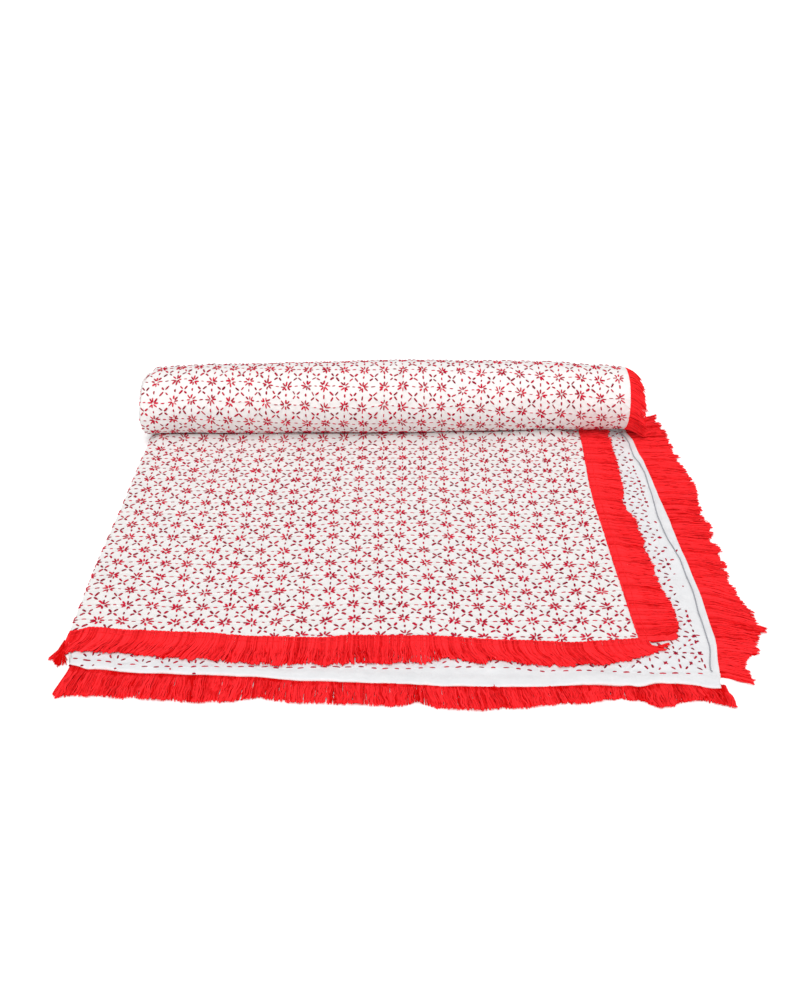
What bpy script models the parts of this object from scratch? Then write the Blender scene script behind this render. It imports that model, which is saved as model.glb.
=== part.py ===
# A kantha quilt: a stitched cotton throw with a red brush fringe, folded once in half along its
# length, then rolled up from its far end towards the near one. The roll stands at the back and
# the two flat layers leave its foot. X runs along the roll, +Y points to the back, +Z is up,
# and the origin is on the flat underside.
import math
import random

import bmesh
import bpy
import numpy as np

# Cloth: the whole throw is 1.27 m by 1.78 m before it is folded and rolled
CLOTH = 0.0026
LAYER_GAP = 0.0008
PART_GAP = 0.0003
DOUBLE = 2 * CLOTH + LAYER_GAP
SEAT_GAP = PART_GAP + 0.00005
EDGE_GAP = 0.0007

# The fold at the left: a blunt nose, then the full thickness, then the space between the layers
NOSE_DEPTH = 0.0022
NOSE_HALF = 0.0012
SPACE_START = 0.0040
SPACE_OPEN = 0.0050

# The roll: points round one turn, points from the nip to the floor line, and its turns
ROUND = 32
NIP_STEPS = 2
TURNS = 6.25
NIP_BEFORE_CENTRE = 0.013
# Soft unevenness of the roll's outer face and of the upper layer's top, and where it fades out
ROLL_DENT = 0.0005
ROLL_DENTS = 3
SWELL = 0.00035
STILL_ROWS = 3
STILL_STATIONS = 4

# Rows of the flat part, as shares of the way from the front edge to the nip
FLAT_ROWS = (0.0, 0.03, 0.08, 0.16, 0.27, 0.39, 0.51, 0.63, 0.75, 0.88, 1.0)
STATIONS_UPPER = 24
STATIONS_MARGIN = 4

# Front edge of the lower layer: x, y
LOWER_FRONT = (
    (-0.337, -0.243), (-0.315, -0.250), (-0.262, -0.256), (-0.205, -0.259), (-0.150, -0.262),
    (-0.085, -0.269), (-0.012, -0.272), (0.066, -0.277), (0.132, -0.278), (0.205, -0.275),
    (0.232, -0.272), (0.259, -0.275), (0.286, -0.271), (0.330, -0.280),
)
# Front edge of the upper layer: x, y
UPPER_FRONT = (
    (-0.337, -0.205), (-0.315, -0.198), (-0.274, -0.203), (-0.207, -0.207), (-0.137, -0.214),
    (-0.074, -0.216), (-0.045, -0.212), (0.028, -0.213), (0.126, -0.221), (0.187, -0.225),
    (0.216, -0.222), (0.262, -0.218),
)
# The fold at the left: y, x
FOLD_SIDE = ((-0.243, -0.332), (-0.190, -0.3385), (-0.064, -0.3385), (0.113, -0.3355), (0.246, -0.3345))
# Right edge of the upper layer: y, x
UPPER_SIDE = ((-0.218, 0.266), (-0.140, 0.264), (-0.050, 0.262), (0.071, 0.260), (0.255, 0.267))
# Right edge of the lower layer: y, x
LOWER_SIDE = (
    (-0.280, 0.323), (-0.251, 0.329), (-0.198, 0.336), (-0.126, 0.338), (0.018, 0.336),
    (0.096, 0.334), (0.174, 0.332), (0.220, 0.328), (0.270, 0.323),
)
# The roll along its length: x, outer radius, y of its centre
ROLL_FORM = (
    (-0.345, 0.0485, 0.262), (-0.251, 0.0502, 0.2644), (-0.130, 0.0520, 0.265), (0.008, 0.0530, 0.266),
    (0.120, 0.0520, 0.270), (0.216, 0.0503, 0.274), (0.290, 0.0476, 0.275), (0.323, 0.0462, 0.275),
)
# Ends of the roll: turns from the floor line, x of the folded end, x of the fringed end
ROLL_ENDS = (
    (0.0, -0.3345, 0.3230), (0.30, -0.3420, 0.3205), (0.60, -0.3465, 0.3200), (0.95, -0.3445, 0.3205),
    (2.0, -0.3400, 0.3200), (4.0, -0.3430, 0.3200), (7.0, -0.3380, 0.3200),
)

# Fringe: a heading tape with soft locks
HEADING = 0.010
HEADING_T = 0.0012
HEADING_OUT = 0.0008
STRIP = 0.0026
STRIP_T = 0.0020
LOCK_PITCH = 0.0087
LOCK_SHARE = 0.82
LEAN_SPREAD = 2.5
REACH_SPREAD = 0.0015
# Rings of a lock, from its root to its tip: share of the reach, share of the width, low and high
# face above the surface that the tip rests on
LET_DOWN = ((0.30, 0.90, 0.0008, 0.0021), (1.0, 0.66, 0.0, 0.0009))
LYING = ((1.0, 0.66, 0.0, 0.0009),)
# Locks of the upper front run: x at the root, lean to the right in degrees, reach from the cloth's edge
UPPER_FRONT_LOCKS = (
    (-0.337, -22.0, 0.029), (-0.285, -16.0, 0.022), (-0.238, -14.0, 0.025), (-0.172, -10.0, 0.031),
    (-0.112, -4.0, 0.032), (0.028, 2.0, 0.032), (0.050, 12.0, 0.022), (0.078, 18.0, 0.030),
    (0.099, 24.0, 0.019), (0.127, 28.0, 0.026), (0.204, 32.0, 0.027), (0.240, 42.0, 0.024),
    (0.266, 58.0, 0.016),
)
# Locks of the lower front run: x at the root, lean, reach
LOWER_FRONT_LOCKS = (
    (-0.337, -24.0, 0.038), (-0.280, -10.0, 0.037), (-0.192, -2.0, 0.040), (-0.132, 0.0, 0.031),
    (-0.044, 3.0, 0.032), (0.017, 5.0, 0.034), (0.080, 9.0, 0.034), (0.176, 6.0, 0.027),
    (0.232, 0.0, 0.027), (0.269, 4.0, 0.034), (0.290, 6.0, 0.027), (0.323, 24.0, 0.027),
)
# Locks of the upper right run: y at the root, lean towards the front, reach
UPPER_SIDE_LOCKS = (
    (0.250, 3.0, 0.030), (0.127, 8.0, 0.032), (0.065, 8.0, 0.028), (0.025, 10.0, 0.034),
    (-0.101, 8.0, 0.033), (-0.150, 6.0, 0.036), (-0.210, 2.0, 0.033),
)
# Locks of the lower right run: y at the root, lean towards the front, reach
LOWER_SIDE_LOCKS = (
    (0.292, -24.0, 0.048), (0.268, -8.0, 0.051), (0.200, 3.0, 0.050), (0.100, 6.0, 0.050),
    (0.040, 8.0, 0.044), (-0.047, 8.0, 0.043), (-0.110, 8.0, 0.045), (-0.165, 6.0, 0.056),
    (-0.190, 8.0, 0.050), (-0.220, 10.0, 0.036), (-0.235, 8.0, 0.030), (-0.262, 14.0, 0.036),
)
# Locks round the fringed end of the roll: turns from the floor line, outward reach, droop
ROLL_END_LOCKS = (
    (0.16, 0.034, 0.007), (0.30, 0.026, 0.016), (0.50, 0.019, 0.012), (0.70, 0.022, 0.020),
    (0.88, 0.028, 0.007),
)
ROLL_END_SEAT = 0.0058
ROLL_END_STRIP = 0.0045
ROLL_END_RINGS = ((0.5, 0.85), (1.0, 0.55))
# Where runs stop: the upper right run at the roll, the upper front run at the fold, and the gaps at
# the corners
UPPER_STOP = 0.246
FOLD_END = 0.012
UPPER_CORNER = 0.011
LOWER_CORNER = 0.004
# Closing rings of the roll's fringed end: share of the outline, how far they stand out
END_RINGS = ((0.93, 0.0012), (0.55, 0.0018))

WHITE = (0.86, 0.88, 0.87)
RED = (0.85, 0.02, 0.03)


def read(table, place, column=1):
    """Value of a table's column at a place, blended smoothly between its rows."""
    rows = sorted(table)
    places = np.array([row[0] for row in rows])
    values = np.array([row[column] for row in rows])
    place = np.clip(place, places[0], places[-1])
    k = np.clip(np.searchsorted(places, place, side="right") - 1, 0, len(places) - 2)
    t = (place - places[k]) / (places[k + 1] - places[k])
    return values[k] + (values[k + 1] - values[k]) * t * t * (3 - 2 * t)


def material(name, colour, roughness):
    """A plain cotton finish."""
    finish = bpy.data.materials.new(name)
    finish.use_nodes = True
    shader = finish.node_tree.nodes["Principled BSDF"]
    shader.inputs["Base Color"].default_value = (*colour, 1.0)
    shader.inputs["Roughness"].default_value = roughness
    shader.inputs["Metallic"].default_value = 0.0
    return finish


def add_object(name, points, faces, finish):
    """One closed body with its faces turned outwards."""
    mesh = bpy.data.meshes.new(name)
    mesh.from_pydata(points, [], faces)
    body = bmesh.new()
    body.from_mesh(mesh)
    bmesh.ops.recalc_face_normals(body, faces=body.faces)
    body.to_mesh(mesh)
    body.free()
    mesh.shade_smooth()
    mesh.set_sharp_from_angle(angle=math.radians(40))
    mesh.materials.append(finish)
    bpy.context.scene.collection.objects.link(bpy.data.objects.new(name, mesh))


class Skin:
    """Collects the points and faces of one body."""

    def __init__(self):
        self.points = []
        self.faces = []

    def row(self, points):
        """Adds points and returns their numbers."""
        first = len(self.points)
        self.points += [tuple(float(v) for v in p) for p in points]
        return list(range(first, len(self.points)))

    def strip(self, one, other):
        """Quads between two rows of the same length."""
        for k in range(len(one) - 1):
            self.face(one[k], one[k + 1], other[k + 1], other[k])

    def face(self, *corners):
        """A face, without the corners that fall together."""
        kept = [c for k, c in enumerate(corners) if c != corners[k - 1]]
        if len(kept) > 2:
            self.faces.append(tuple(kept))


# The cloth

NIP = len(FLAT_ROWS) - 1
FLOOR_LINE = NIP + NIP_STEPS
LAST_OUTER = NIP + ROUND
LAST = FLOOR_LINE + int(ROUND * TURNS)
BASE_X = np.concatenate([
    FOLD_SIDE[2][1] + np.array([0.0, NOSE_DEPTH, SPACE_START]),
    np.linspace(FOLD_SIDE[2][1] + SPACE_OPEN, UPPER_SIDE[2][1], STATIONS_UPPER),
    np.linspace(UPPER_SIDE[2][1], LOWER_SIDE[4][1], STATIONS_MARGIN + 1)[1:],
])
UPPER_STATION = 3 + STATIONS_UPPER - 1
LAST_STATION = len(BASE_X) - 1


def across(station, fold_x, upper_x, lower_x):
    """x of a station, between the fold, the upper layer's edge and the lower layer's edge."""
    base = BASE_X[station]
    inset = base - BASE_X[0]
    if inset <= SPACE_OPEN + 1e-9:
        return fold_x + inset
    if station <= UPPER_STATION:
        share = (inset - SPACE_OPEN) / (BASE_X[UPPER_STATION] - BASE_X[0] - SPACE_OPEN)
        return fold_x + SPACE_OPEN + share * (upper_x - fold_x - SPACE_OPEN)
    share = (base - BASE_X[UPPER_STATION]) / (BASE_X[-1] - BASE_X[UPPER_STATION])
    return upper_x + share * (lower_x - upper_x)


def flat_row(station, front_table, index):
    """x and y of a point of a flat layer: a share of the way from its front edge to the nip."""
    x = BASE_X[station]
    front = read(front_table, x)
    nip = read(ROLL_FORM, x, 2) - NIP_BEFORE_CENTRE
    y = front + (nip - front) * FLAT_ROWS[index]
    return across(station, read(FOLD_SIDE, y), read(UPPER_SIDE, y), read(LOWER_SIDE, y)), y


def swell(x, y, station, index):
    """Soft unevenness of the upper layer's top, still at its margins and at the nip."""
    if index < STILL_ROWS or index == NIP:
        return 0.0
    if station < STILL_STATIONS or station > UPPER_STATION - STILL_STATIONS / 2:
        return 0.0
    return SWELL * (1.0 + math.sin(43 * x + 9 * y) * math.cos(31 * y - 12 * x))


def spiral_point(index, depth, x_at):
    """A point of the wound cloth: along the floor to the floor line, then round a spiral that
    tightens by one double layer a turn; depth is how far inside the outer face it lies."""
    turn = (index - FLOOR_LINE) / ROUND
    x = x_at(max(turn, 0.0))
    radius, centre = read(ROLL_FORM, x, 1), read(ROLL_FORM, x, 2)
    if turn <= 0:
        y = centre + NIP_BEFORE_CENTRE * turn * ROUND / NIP_STEPS
        return x, y, depth
    angle = 2 * math.pi * turn
    r = radius - depth - DOUBLE * turn
    if depth == 0:
        r += ROLL_DENT * math.sin(ROLL_DENTS * angle + 14 * x) * min(turn * 4, 1.0)
    return x, centre + r * math.sin(angle), radius - r * math.cos(angle)


def roll_x(station):
    """x of a station on the roll, for each turn."""
    def x_at(turn):
        fold_x = read(ROLL_ENDS, turn, 1)
        end_x = read(ROLL_ENDS, turn, 2)
        return across(station, fold_x, UPPER_SIDE[-1][1], end_x)
    return x_at


def outer_row(station, depth):
    """Underside of the flat part, then the roll's outer face up to the nip."""
    points = []
    for index in range(NIP + 1):
        x, y = flat_row(station, LOWER_FRONT, index)
        points.append((x, y, depth))
    for index in range(NIP + 1, LAST_OUTER):
        points.append(spiral_point(index, depth, roll_x(station)))
    return points


def build_quilt(finish):
    """The wound and folded cloth as one closed solid, and its four edges for the fringe."""
    skin = Skin()
    nose_low, nose_high = DOUBLE / 2 - NOSE_HALF, DOUBLE / 2 + NOSE_HALF
    end_x = roll_x(0)
    # Folded end: two rows of the nose and the groove between the turns, wound to the core
    nose_out = skin.row(outer_row(0, nose_low))
    nose_out += skin.row(spiral_point(k, nose_low, end_x) for k in range(LAST_OUTER, LAST + 1))
    nose_in = skin.row((*flat_row(0, UPPER_FRONT, k), nose_high) for k in range(NIP + 1))
    nose_in += skin.row(spiral_point(k, nose_high, end_x) for k in range(NIP + 1, LAST + 1))
    skin.strip(nose_out, nose_in)

    # Outer face, from station to station; its last point is the nip
    outer, top, under, inside = [nose_out[:LAST_OUTER + 1]], [nose_in[:NIP + 1]], [None] * 3, [None] * 3
    for station in range(1, LAST_STATION + 1):
        row = skin.row(outer_row(station, 0.0))
        x, y = flat_row(station, UPPER_FRONT, NIP)
        row += skin.row([(x, y, DOUBLE)])
        skin.strip(outer[-1], row)
        outer.append(row)
        if station <= UPPER_STATION:
            places = [flat_row(station, UPPER_FRONT, k) for k in range(NIP)]
            level = [(x, y, DOUBLE + swell(x, y, station, k)) for k, (x, y) in enumerate(places)]
            line = skin.row(level) + [row[-1]]
            skin.strip(top[-1], line)
            top.append(line)

    # Groove between the turns at the folded end
    def groove_x(turn):
        return max(read(ROLL_ENDS, turn, 1), read(ROLL_ENDS, turn + 1, 1)) + NOSE_DEPTH

    bottom = skin.row(spiral_point(k, DOUBLE, groove_x) for k in range(NIP + 1, LAST + 1))
    groove = dict(zip(range(NIP, LAST + 1), [outer[1][-1]] + bottom))
    for k in range(NIP, LAST):
        skin.face(nose_in[k], nose_in[k + 1], groove[k + 1], groove[k])
        if k + 1 + ROUND <= LAST:
            skin.face(groove[k], groove[k + 1], nose_out[k + 1 + ROUND], nose_out[k + ROUND])
    core_x = end_x(TURNS) + NOSE_DEPTH
    core = skin.row([(core_x, read(ROLL_FORM, core_x, 2), read(ROLL_FORM, core_x, 1))])[0]
    rim = [groove[k] for k in range(LAST - ROUND, LAST + 1)] + [nose_in[LAST], nose_out[LAST]]
    for k, point in enumerate(rim):
        skin.face(rim[k - 1], point, core)

    # Space between the layers, open at the front and at the right
    mid, low, high = DOUBLE / 2, CLOTH, CLOTH + LAYER_GAP
    places = [np.add(flat_row(2, LOWER_FRONT, k), flat_row(2, UPPER_FRONT, k)) / 2 for k in range(NIP + 1)]
    crease = skin.row((x, y, mid) for x, y in places)
    under[2], inside[2] = crease, crease
    for station in range(3, LAST_STATION + 1):
        inside.append(skin.row((*flat_row(station, LOWER_FRONT, k), low) for k in range(NIP + 1)))
        skin.strip(inside[-2], inside[-1])
        if station <= UPPER_STATION:
            places = [flat_row(station, UPPER_FRONT, k) for k in range(NIP + 1)]
            lift = [swell(x, y, station, k) for k, (x, y) in enumerate(places)]
            under.append(skin.row((x, y, high + dz) for (x, y), dz in zip(places, lift)))
            skin.strip(under[-2], under[-1])
        else:
            x, y = flat_row(station, UPPER_FRONT, NIP)
            under.append(skin.row([(x, y, high)]))
            skin.face(outer[station - 1][-1], outer[station][-1], under[-1][-1], under[-2][-1])
        skin.face(under[-2][-1], under[-1][-1], inside[-1][-1], inside[-2][-1])
        skin.face(outer[station - 1][0], outer[station][0], inside[-1][0], inside[-2][0])
        if station <= UPPER_STATION:
            skin.face(top[station - 1][0], top[station][0], under[-1][0], under[-2][0])
    skin.strip(top[UPPER_STATION], under[UPPER_STATION])
    # Front end of the fold
    skin.face(nose_out[0], outer[1][0], top[1][0], nose_in[0])
    skin.face(outer[1][0], outer[2][0], crease[0], top[2][0], top[1][0])

    # Right side: the edge of the lower layer, and the end of the roll
    skin.strip(outer[LAST_STATION][:NIP + 1], inside[LAST_STATION])
    rim = outer[LAST_STATION][NIP:] + [under[LAST_STATION][0], inside[LAST_STATION][NIP]]
    end_x, radius, centre = ROLL_ENDS[-1][2], ROLL_FORM[-1][1], ROLL_FORM[-1][2]
    outline = [skin.points[number] for number in rim]
    for share, bulge in END_RINGS:
        ring = skin.row((end_x + bulge, centre + (y - centre) * share, radius + (z - radius) * share)
                        for x, y, z in outline)
        skin.strip(rim + rim[:1], ring + ring[:1])
        rim = ring
    hub = skin.row([(end_x + END_RINGS[-1][1], centre, radius)])[0]
    for k, point in enumerate(rim):
        skin.face(rim[k - 1], point, hub)

    add_object("quilt", skin.points, skin.faces, finish)
    return {
        "front_fringe_lower": [skin.points[row[0]] for row in outer],
        "front_fringe_upper": [skin.points[row[0]] for row in top],
        "side_fringe_upper": [skin.points[k] for k in top[UPPER_STATION]],
        "side_fringe_lower": [skin.points[k] for k in outer[LAST_STATION][:FLOOR_LINE + 1]],
    }


# The fringe

def lock_spans(start, end):
    """Where each lock begins and ends along a strip."""
    count = int(abs(end - start) / LOCK_PITCH)
    pitch = (end - start) / count
    return [(start + k * pitch, start + (k + LOCK_SHARE) * pitch) for k in range(count)]


def build_fringe(name, frames, locks, finish):
    """A strip through frames of four corners (inner low, outer low, outer high, inner high), two
    frames for each lock, and each lock drawn out of the strip's outer side through its rings."""
    skin = Skin()
    rows = [skin.row(frame) for frame in frames]
    for k, (one, two) in enumerate(zip(rows, rows[1:])):
        for a, b in ((0, 1), (2, 3), (3, 0)):
            skin.face(one[a], one[b], two[b], two[a])
        if k % 2:
            skin.face(one[1], one[2], two[2], two[1])
            continue
        ring = [one[1], two[1], two[2], one[2]]
        for points in locks[k // 2]:
            drawn = skin.row(points)
            for corner in range(4):
                skin.face(ring[corner - 1], ring[corner], drawn[corner], drawn[corner - 1])
            ring = drawn
        skin.face(*ring)
    skin.face(*rows[0])
    skin.face(*rows[-1])
    add_object(name, skin.points, skin.faces, finish)


def straight_fringe(name, edge, span, table, seat, rest, rings, finish):
    """Fringe along an edge of the flat cloth. edge runs along one axis; span is where the strip
    starts and ends on it; seat gives how far from the edge the strip's two sides lie, its low and
    its high face; rest is the height of the surface that the locks lie on."""
    chance = random.Random(name)
    front = name.startswith("front")
    axis, side, turn = (0, 1, -1) if front else (1, 0, 1)
    line = sorted((p[axis], p[side]) for p in edge)
    places = np.array([p[0] for p in line])
    values = np.array([p[1] for p in line])
    inner, outer, low, high = seat

    def point(place, away, z):
        value = np.interp(place, places, values) + turn * away
        return (place, value, z) if front else (value, place, z)

    frames, locks = [], []
    for start, end in lock_spans(*span):
        for place in (start, end):
            frames.append([point(place, inner, low), point(place, outer, low),
                           point(place, outer, high), point(place, inner, high)])
        middle, half = (start + end) / 2, (end - start) / 2
        lean = math.radians(read(table, middle, 1) + chance.uniform(-LEAN_SPREAD, LEAN_SPREAD))
        reach = read(table, middle, 2) + chance.uniform(-REACH_SPREAD, REACH_SPREAD)
        drawn = []
        for share, width, lower, upper in rings:
            away = outer + (reach - outer) * share
            shift = (away - outer) * math.tan(lean) * -turn
            base = np.interp(middle, places, values) + turn * away
            one, two = middle + shift - half * width, middle + shift + half * width
            corners = ((one, lower), (two, lower), (two, upper), (one, upper))
            drawn.append([(p, base, rest + z) if front else (base, p, rest + z) for p, z in corners])
        locks.append(drawn)
    build_fringe(name, frames, locks, finish)


def roll_end_fringe(finish):
    """Fringe round the fringed end of the roll: a strip on the end face, locks that point
    outwards along X and hang down."""
    radius, centre = ROLL_FORM[-1][1], ROLL_FORM[-1][2]
    near_x = ROLL_ENDS[-1][2] + END_RINGS[-1][1] + PART_GAP
    ring_radius = radius - ROLL_END_SEAT
    turn_length = 2 * math.pi * (ring_radius - DOUBLE / 2)
    frames, locks = [], []

    def point(turn, inset, x):
        r = ring_radius - DOUBLE * turn - inset
        return x, centre + r * math.sin(2 * math.pi * turn), radius - r * math.cos(2 * math.pi * turn)

    first, last = ROLL_END_LOCKS[0][0], ROLL_END_LOCKS[-1][0]
    for start, end in lock_spans(first * turn_length, last * turn_length):
        for place in (start / turn_length, end / turn_length):
            frames.append([point(place, 0.0, near_x), point(place, 0.0, near_x + STRIP_T),
                           point(place, ROLL_END_STRIP, near_x + STRIP_T), point(place, ROLL_END_STRIP, near_x)])
        root = np.array([frames[-2][1], frames[-1][1], frames[-1][2], frames[-2][2]])
        middle = root.mean(axis=0)
        turn = (start + end) / 2 / turn_length
        reach, droop = read(ROLL_END_LOCKS, turn, 1), read(ROLL_END_LOCKS, turn, 2)
        drawn = []
        for share, size in ROLL_END_RINGS:
            place = middle + np.array([reach * share, 0.0, -droop * share * share])
            drawn.append(place + (root - middle) * size)
        locks.append(drawn)
    build_fringe("roll_end_fringe", frames, locks, finish)


for item in list(bpy.data.objects):
    bpy.data.objects.remove(item, do_unlink=True)
edges = build_quilt(material("white stitched cotton", WHITE, 0.9))

# Seat of a strip: inner and outer side from the cloth's edge, low and high face
on_top = (HEADING_OUT - HEADING, HEADING_OUT, DOUBLE + PART_GAP, DOUBLE + PART_GAP + HEADING_T)
on_floor = (EDGE_GAP, EDGE_GAP + STRIP, 0.0, STRIP_T)
on_layer = CLOTH + SEAT_GAP

fold_x = FOLD_SIDE[0][1]
upper_x, upper_y = edges["side_fringe_upper"][0][:2]
lower_x, lower_y = edges["side_fringe_lower"][0][:2]
upper_front_span = (fold_x + FOLD_END, upper_x)
upper_side_span = (upper_y + UPPER_CORNER, UPPER_STOP)
lower_front_span = (fold_x, lower_x)
lower_side_span = (lower_y + LOWER_CORNER, LOWER_SIDE_LOCKS[0][0])
for name, span, table, seat, rest, rings in (
    ("front_fringe_upper", upper_front_span, UPPER_FRONT_LOCKS, on_top, on_layer, LET_DOWN),
    ("side_fringe_upper", upper_side_span, UPPER_SIDE_LOCKS, on_top, on_layer, LET_DOWN),
    ("front_fringe_lower", lower_front_span, LOWER_FRONT_LOCKS, on_floor, 0.0, LYING),
    ("side_fringe_lower", lower_side_span, LOWER_SIDE_LOCKS, on_floor, 0.0, LYING),
):
    finish = material(name.replace("_", " "), RED, 0.8)
    straight_fringe(name, edges[name], span, table, seat, rest, rings, finish)
roll_end_fringe(material("roll end fringe", RED, 0.8))
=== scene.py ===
import math

import bpy
import numpy as np
from mathutils import Matrix


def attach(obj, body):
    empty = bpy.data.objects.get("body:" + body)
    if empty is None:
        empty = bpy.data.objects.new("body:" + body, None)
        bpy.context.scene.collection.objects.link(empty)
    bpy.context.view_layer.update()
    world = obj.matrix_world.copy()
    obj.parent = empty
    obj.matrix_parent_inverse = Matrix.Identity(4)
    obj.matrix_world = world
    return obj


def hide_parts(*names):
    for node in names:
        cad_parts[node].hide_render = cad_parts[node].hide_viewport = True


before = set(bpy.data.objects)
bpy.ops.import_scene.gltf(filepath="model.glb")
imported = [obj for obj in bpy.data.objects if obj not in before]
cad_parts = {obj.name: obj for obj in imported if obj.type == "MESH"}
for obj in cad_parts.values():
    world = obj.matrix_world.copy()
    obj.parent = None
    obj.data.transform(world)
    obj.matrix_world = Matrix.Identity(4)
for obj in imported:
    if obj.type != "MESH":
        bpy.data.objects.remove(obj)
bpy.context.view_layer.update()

# The quilted cloth. Soft layered white cotton, 1.27 m by 1.78 m, hemmed on all sides. It is folded in half
# along the fold at the left, then rolled up from its far end over the upper layer. Its outer face has the
# dense stitching, and its inner face shows on the margin of the lower layer.
# Thickness of one layer, and height of the folded cloth's two
THICKNESS = 0.0026
DOUBLE = 0.0060
FOLD_RADIUS = DOUBLE / 2
INNER_RADIUS = FOLD_RADIUS - THICKNESS
UPPER_WIDTH, LOWER_WIDTH, FLAT_LENGTH = 0.600, 0.668, 0.536
# Right end of the upper layer's front, and how far the lower layer goes on past it
UPPER_RIGHT, MARGIN_WIDTH = 0.262, 0.074
# Turns of the roll in all, those whose outer face shows, and the roll's usual radius
TURNS, OPEN_TURN, ROLL_RADIUS = 6.25, 1.05, 0.050
# Front edges of the lower and of the upper layer: x, y
LOWER_FRONT = (
    (-0.337, -0.243), (-0.315, -0.250), (-0.262, -0.256), (-0.205, -0.259), (-0.150, -0.262),
    (-0.085, -0.269), (-0.012, -0.272), (0.066, -0.277), (0.132, -0.278), (0.205, -0.2755),
    (0.232, -0.2775), (0.242, -0.2762), (0.253, -0.2783), (0.274, -0.2730), (0.290, -0.2738),
    (0.306, -0.2755), (0.330, -0.2810),
)
UPPER_FRONT = (
    (-0.337, -0.205), (-0.315, -0.198), (-0.274, -0.203), (-0.207, -0.207), (-0.137, -0.214),
    (-0.074, -0.216), (-0.045, -0.212), (0.028, -0.213), (0.126, -0.221), (0.187, -0.225),
    (0.216, -0.222), (0.262, -0.218),
)
# The fold at the left, and the right edges of the upper and of the lower layer: y, x
FOLD_SIDE = ((-0.243, -0.3285), (-0.190, -0.3385), (-0.064, -0.3385), (0.113, -0.3355), (0.246, -0.3345))
FOLD_X = -0.3385
UPPER_SIDE = ((-0.218, 0.266), (-0.140, 0.264), (-0.050, 0.262), (0.071, 0.260), (0.255, 0.267))
LOWER_SIDE = (
    (-0.280, 0.323), (-0.251, 0.329), (-0.198, 0.336), (-0.126, 0.338), (0.018, 0.336),
    (0.096, 0.334), (0.174, 0.3315), (0.212, 0.3285), (0.234, 0.3282), (0.256, 0.3232), (0.270, 0.3230),
)
# The roll along its length: x, outer radius, y of its centre
ROLL_FORM = (
    (-0.345, 0.0485, 0.262), (-0.251, 0.0502, 0.2644), (-0.130, 0.0520, 0.265), (0.008, 0.0530, 0.266),
    (0.120, 0.0520, 0.270), (0.216, 0.0503, 0.274), (0.290, 0.0476, 0.275), (0.323, 0.0462, 0.275),
)
# Ends of the roll: turns from where the cloth leaves the floor, x of the folded end, x of the open end
ROLL_ENDS = (
    (0.0, -0.3345, 0.3230), (0.25, -0.3330, 0.3200), (0.47, -0.3250, 0.3175), (0.62, -0.3370, 0.3185),
    (0.78, -0.3410, 0.3190), (0.96, -0.3395, 0.3180), (1.4, -0.3350, 0.3185), (2.0, -0.3400, 0.3175),
    (4.0, -0.3430, 0.3190), (7.0, -0.3380, 0.3170),
)
NOISE_CELLS = 64


def ease(share):
    """A smooth step: a share t from 0 to 1 becomes 3 t squared less 2 t cubed."""
    t = np.clip(share, 0, 1)
    return t * t * (3 - 2 * t)


def blend(table, place, column=1):
    """Value of a table's column at a place: a smooth step from each row to the next."""
    rows = np.array(sorted(table))
    place = np.clip(place, rows[0, 0], rows[-1, 0])
    k = np.clip(np.searchsorted(rows[:, 0], place, side="right") - 1, 0, len(rows) - 2)
    share = (place - rows[k, 0]) / (rows[k + 1, 0] - rows[k, 0])
    return rows[k, column] + (rows[k + 1, column] - rows[k, column]) * ease(share)


def between_cells(table, i, j, smooth):
    """Value of a square table that repeats, between its cells: carried across and down by the share of the
    way, or by its smooth step."""
    k, m = np.floor(i).astype(int), np.floor(j).astype(int)
    s, t = i - k, j - m
    if smooth:
        s, t = ease(s), ease(t)
    near_k, far_k, near_m, far_m = (n % NOISE_CELLS for n in (k, k + 1, m, m + 1))
    near = table[..., near_k, near_m] * (1 - t) + table[..., near_k, far_m] * t
    far = table[..., far_k, near_m] * (1 - t) + table[..., far_k, far_m] * t
    return near * (1 - s) + far * s


def soft(x, y, size, seed):
    """Smooth noise from -1 to 1: random values a size apart, joined by smooth steps both ways."""
    table = np.random.default_rng(seed).uniform(-1, 1, (NOISE_CELLS, NOISE_CELLS))
    return between_cells(table, np.asarray(x) / size + 500.0, np.asarray(y) / size + 500.0, smooth=True)


def uneven(x, y, rows):
    """Sum of smooth noises, from rows of height, share of x, share of y, size and seed."""
    return sum(height * soft(x * by_x, y * by_y, size, seed) for height, by_x, by_y, size, seed in rows)


def bell(distance, reach):
    """A soft bump: e to the power of minus the square of distance over reach."""
    return np.exp(-(distance / reach) ** 2)


def line_form(off_line, rows):
    """Relief across a line: a sum of soft bumps, from rows of height, distance from the line and reach."""
    return sum(height * bell(off_line - place, reach) for height, place, reach in rows)


def roll_radius(x):
    return blend(ROLL_FORM, x)


def roll_middle(x):
    return blend(ROLL_FORM, x, 2)


def wind(x, turn, height):
    """A point of the roll: a spiral that starts on the floor, goes up at the back and over the top to the
    front, and tightens by one double layer a turn. height is measured inwards from the outer face."""
    reach = roll_radius(x) - height - DOUBLE * turn
    angle = 2 * math.pi * turn
    return np.stack([x, roll_middle(x) + reach * np.sin(angle), roll_radius(x) - reach * np.cos(angle)], -1)


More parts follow.
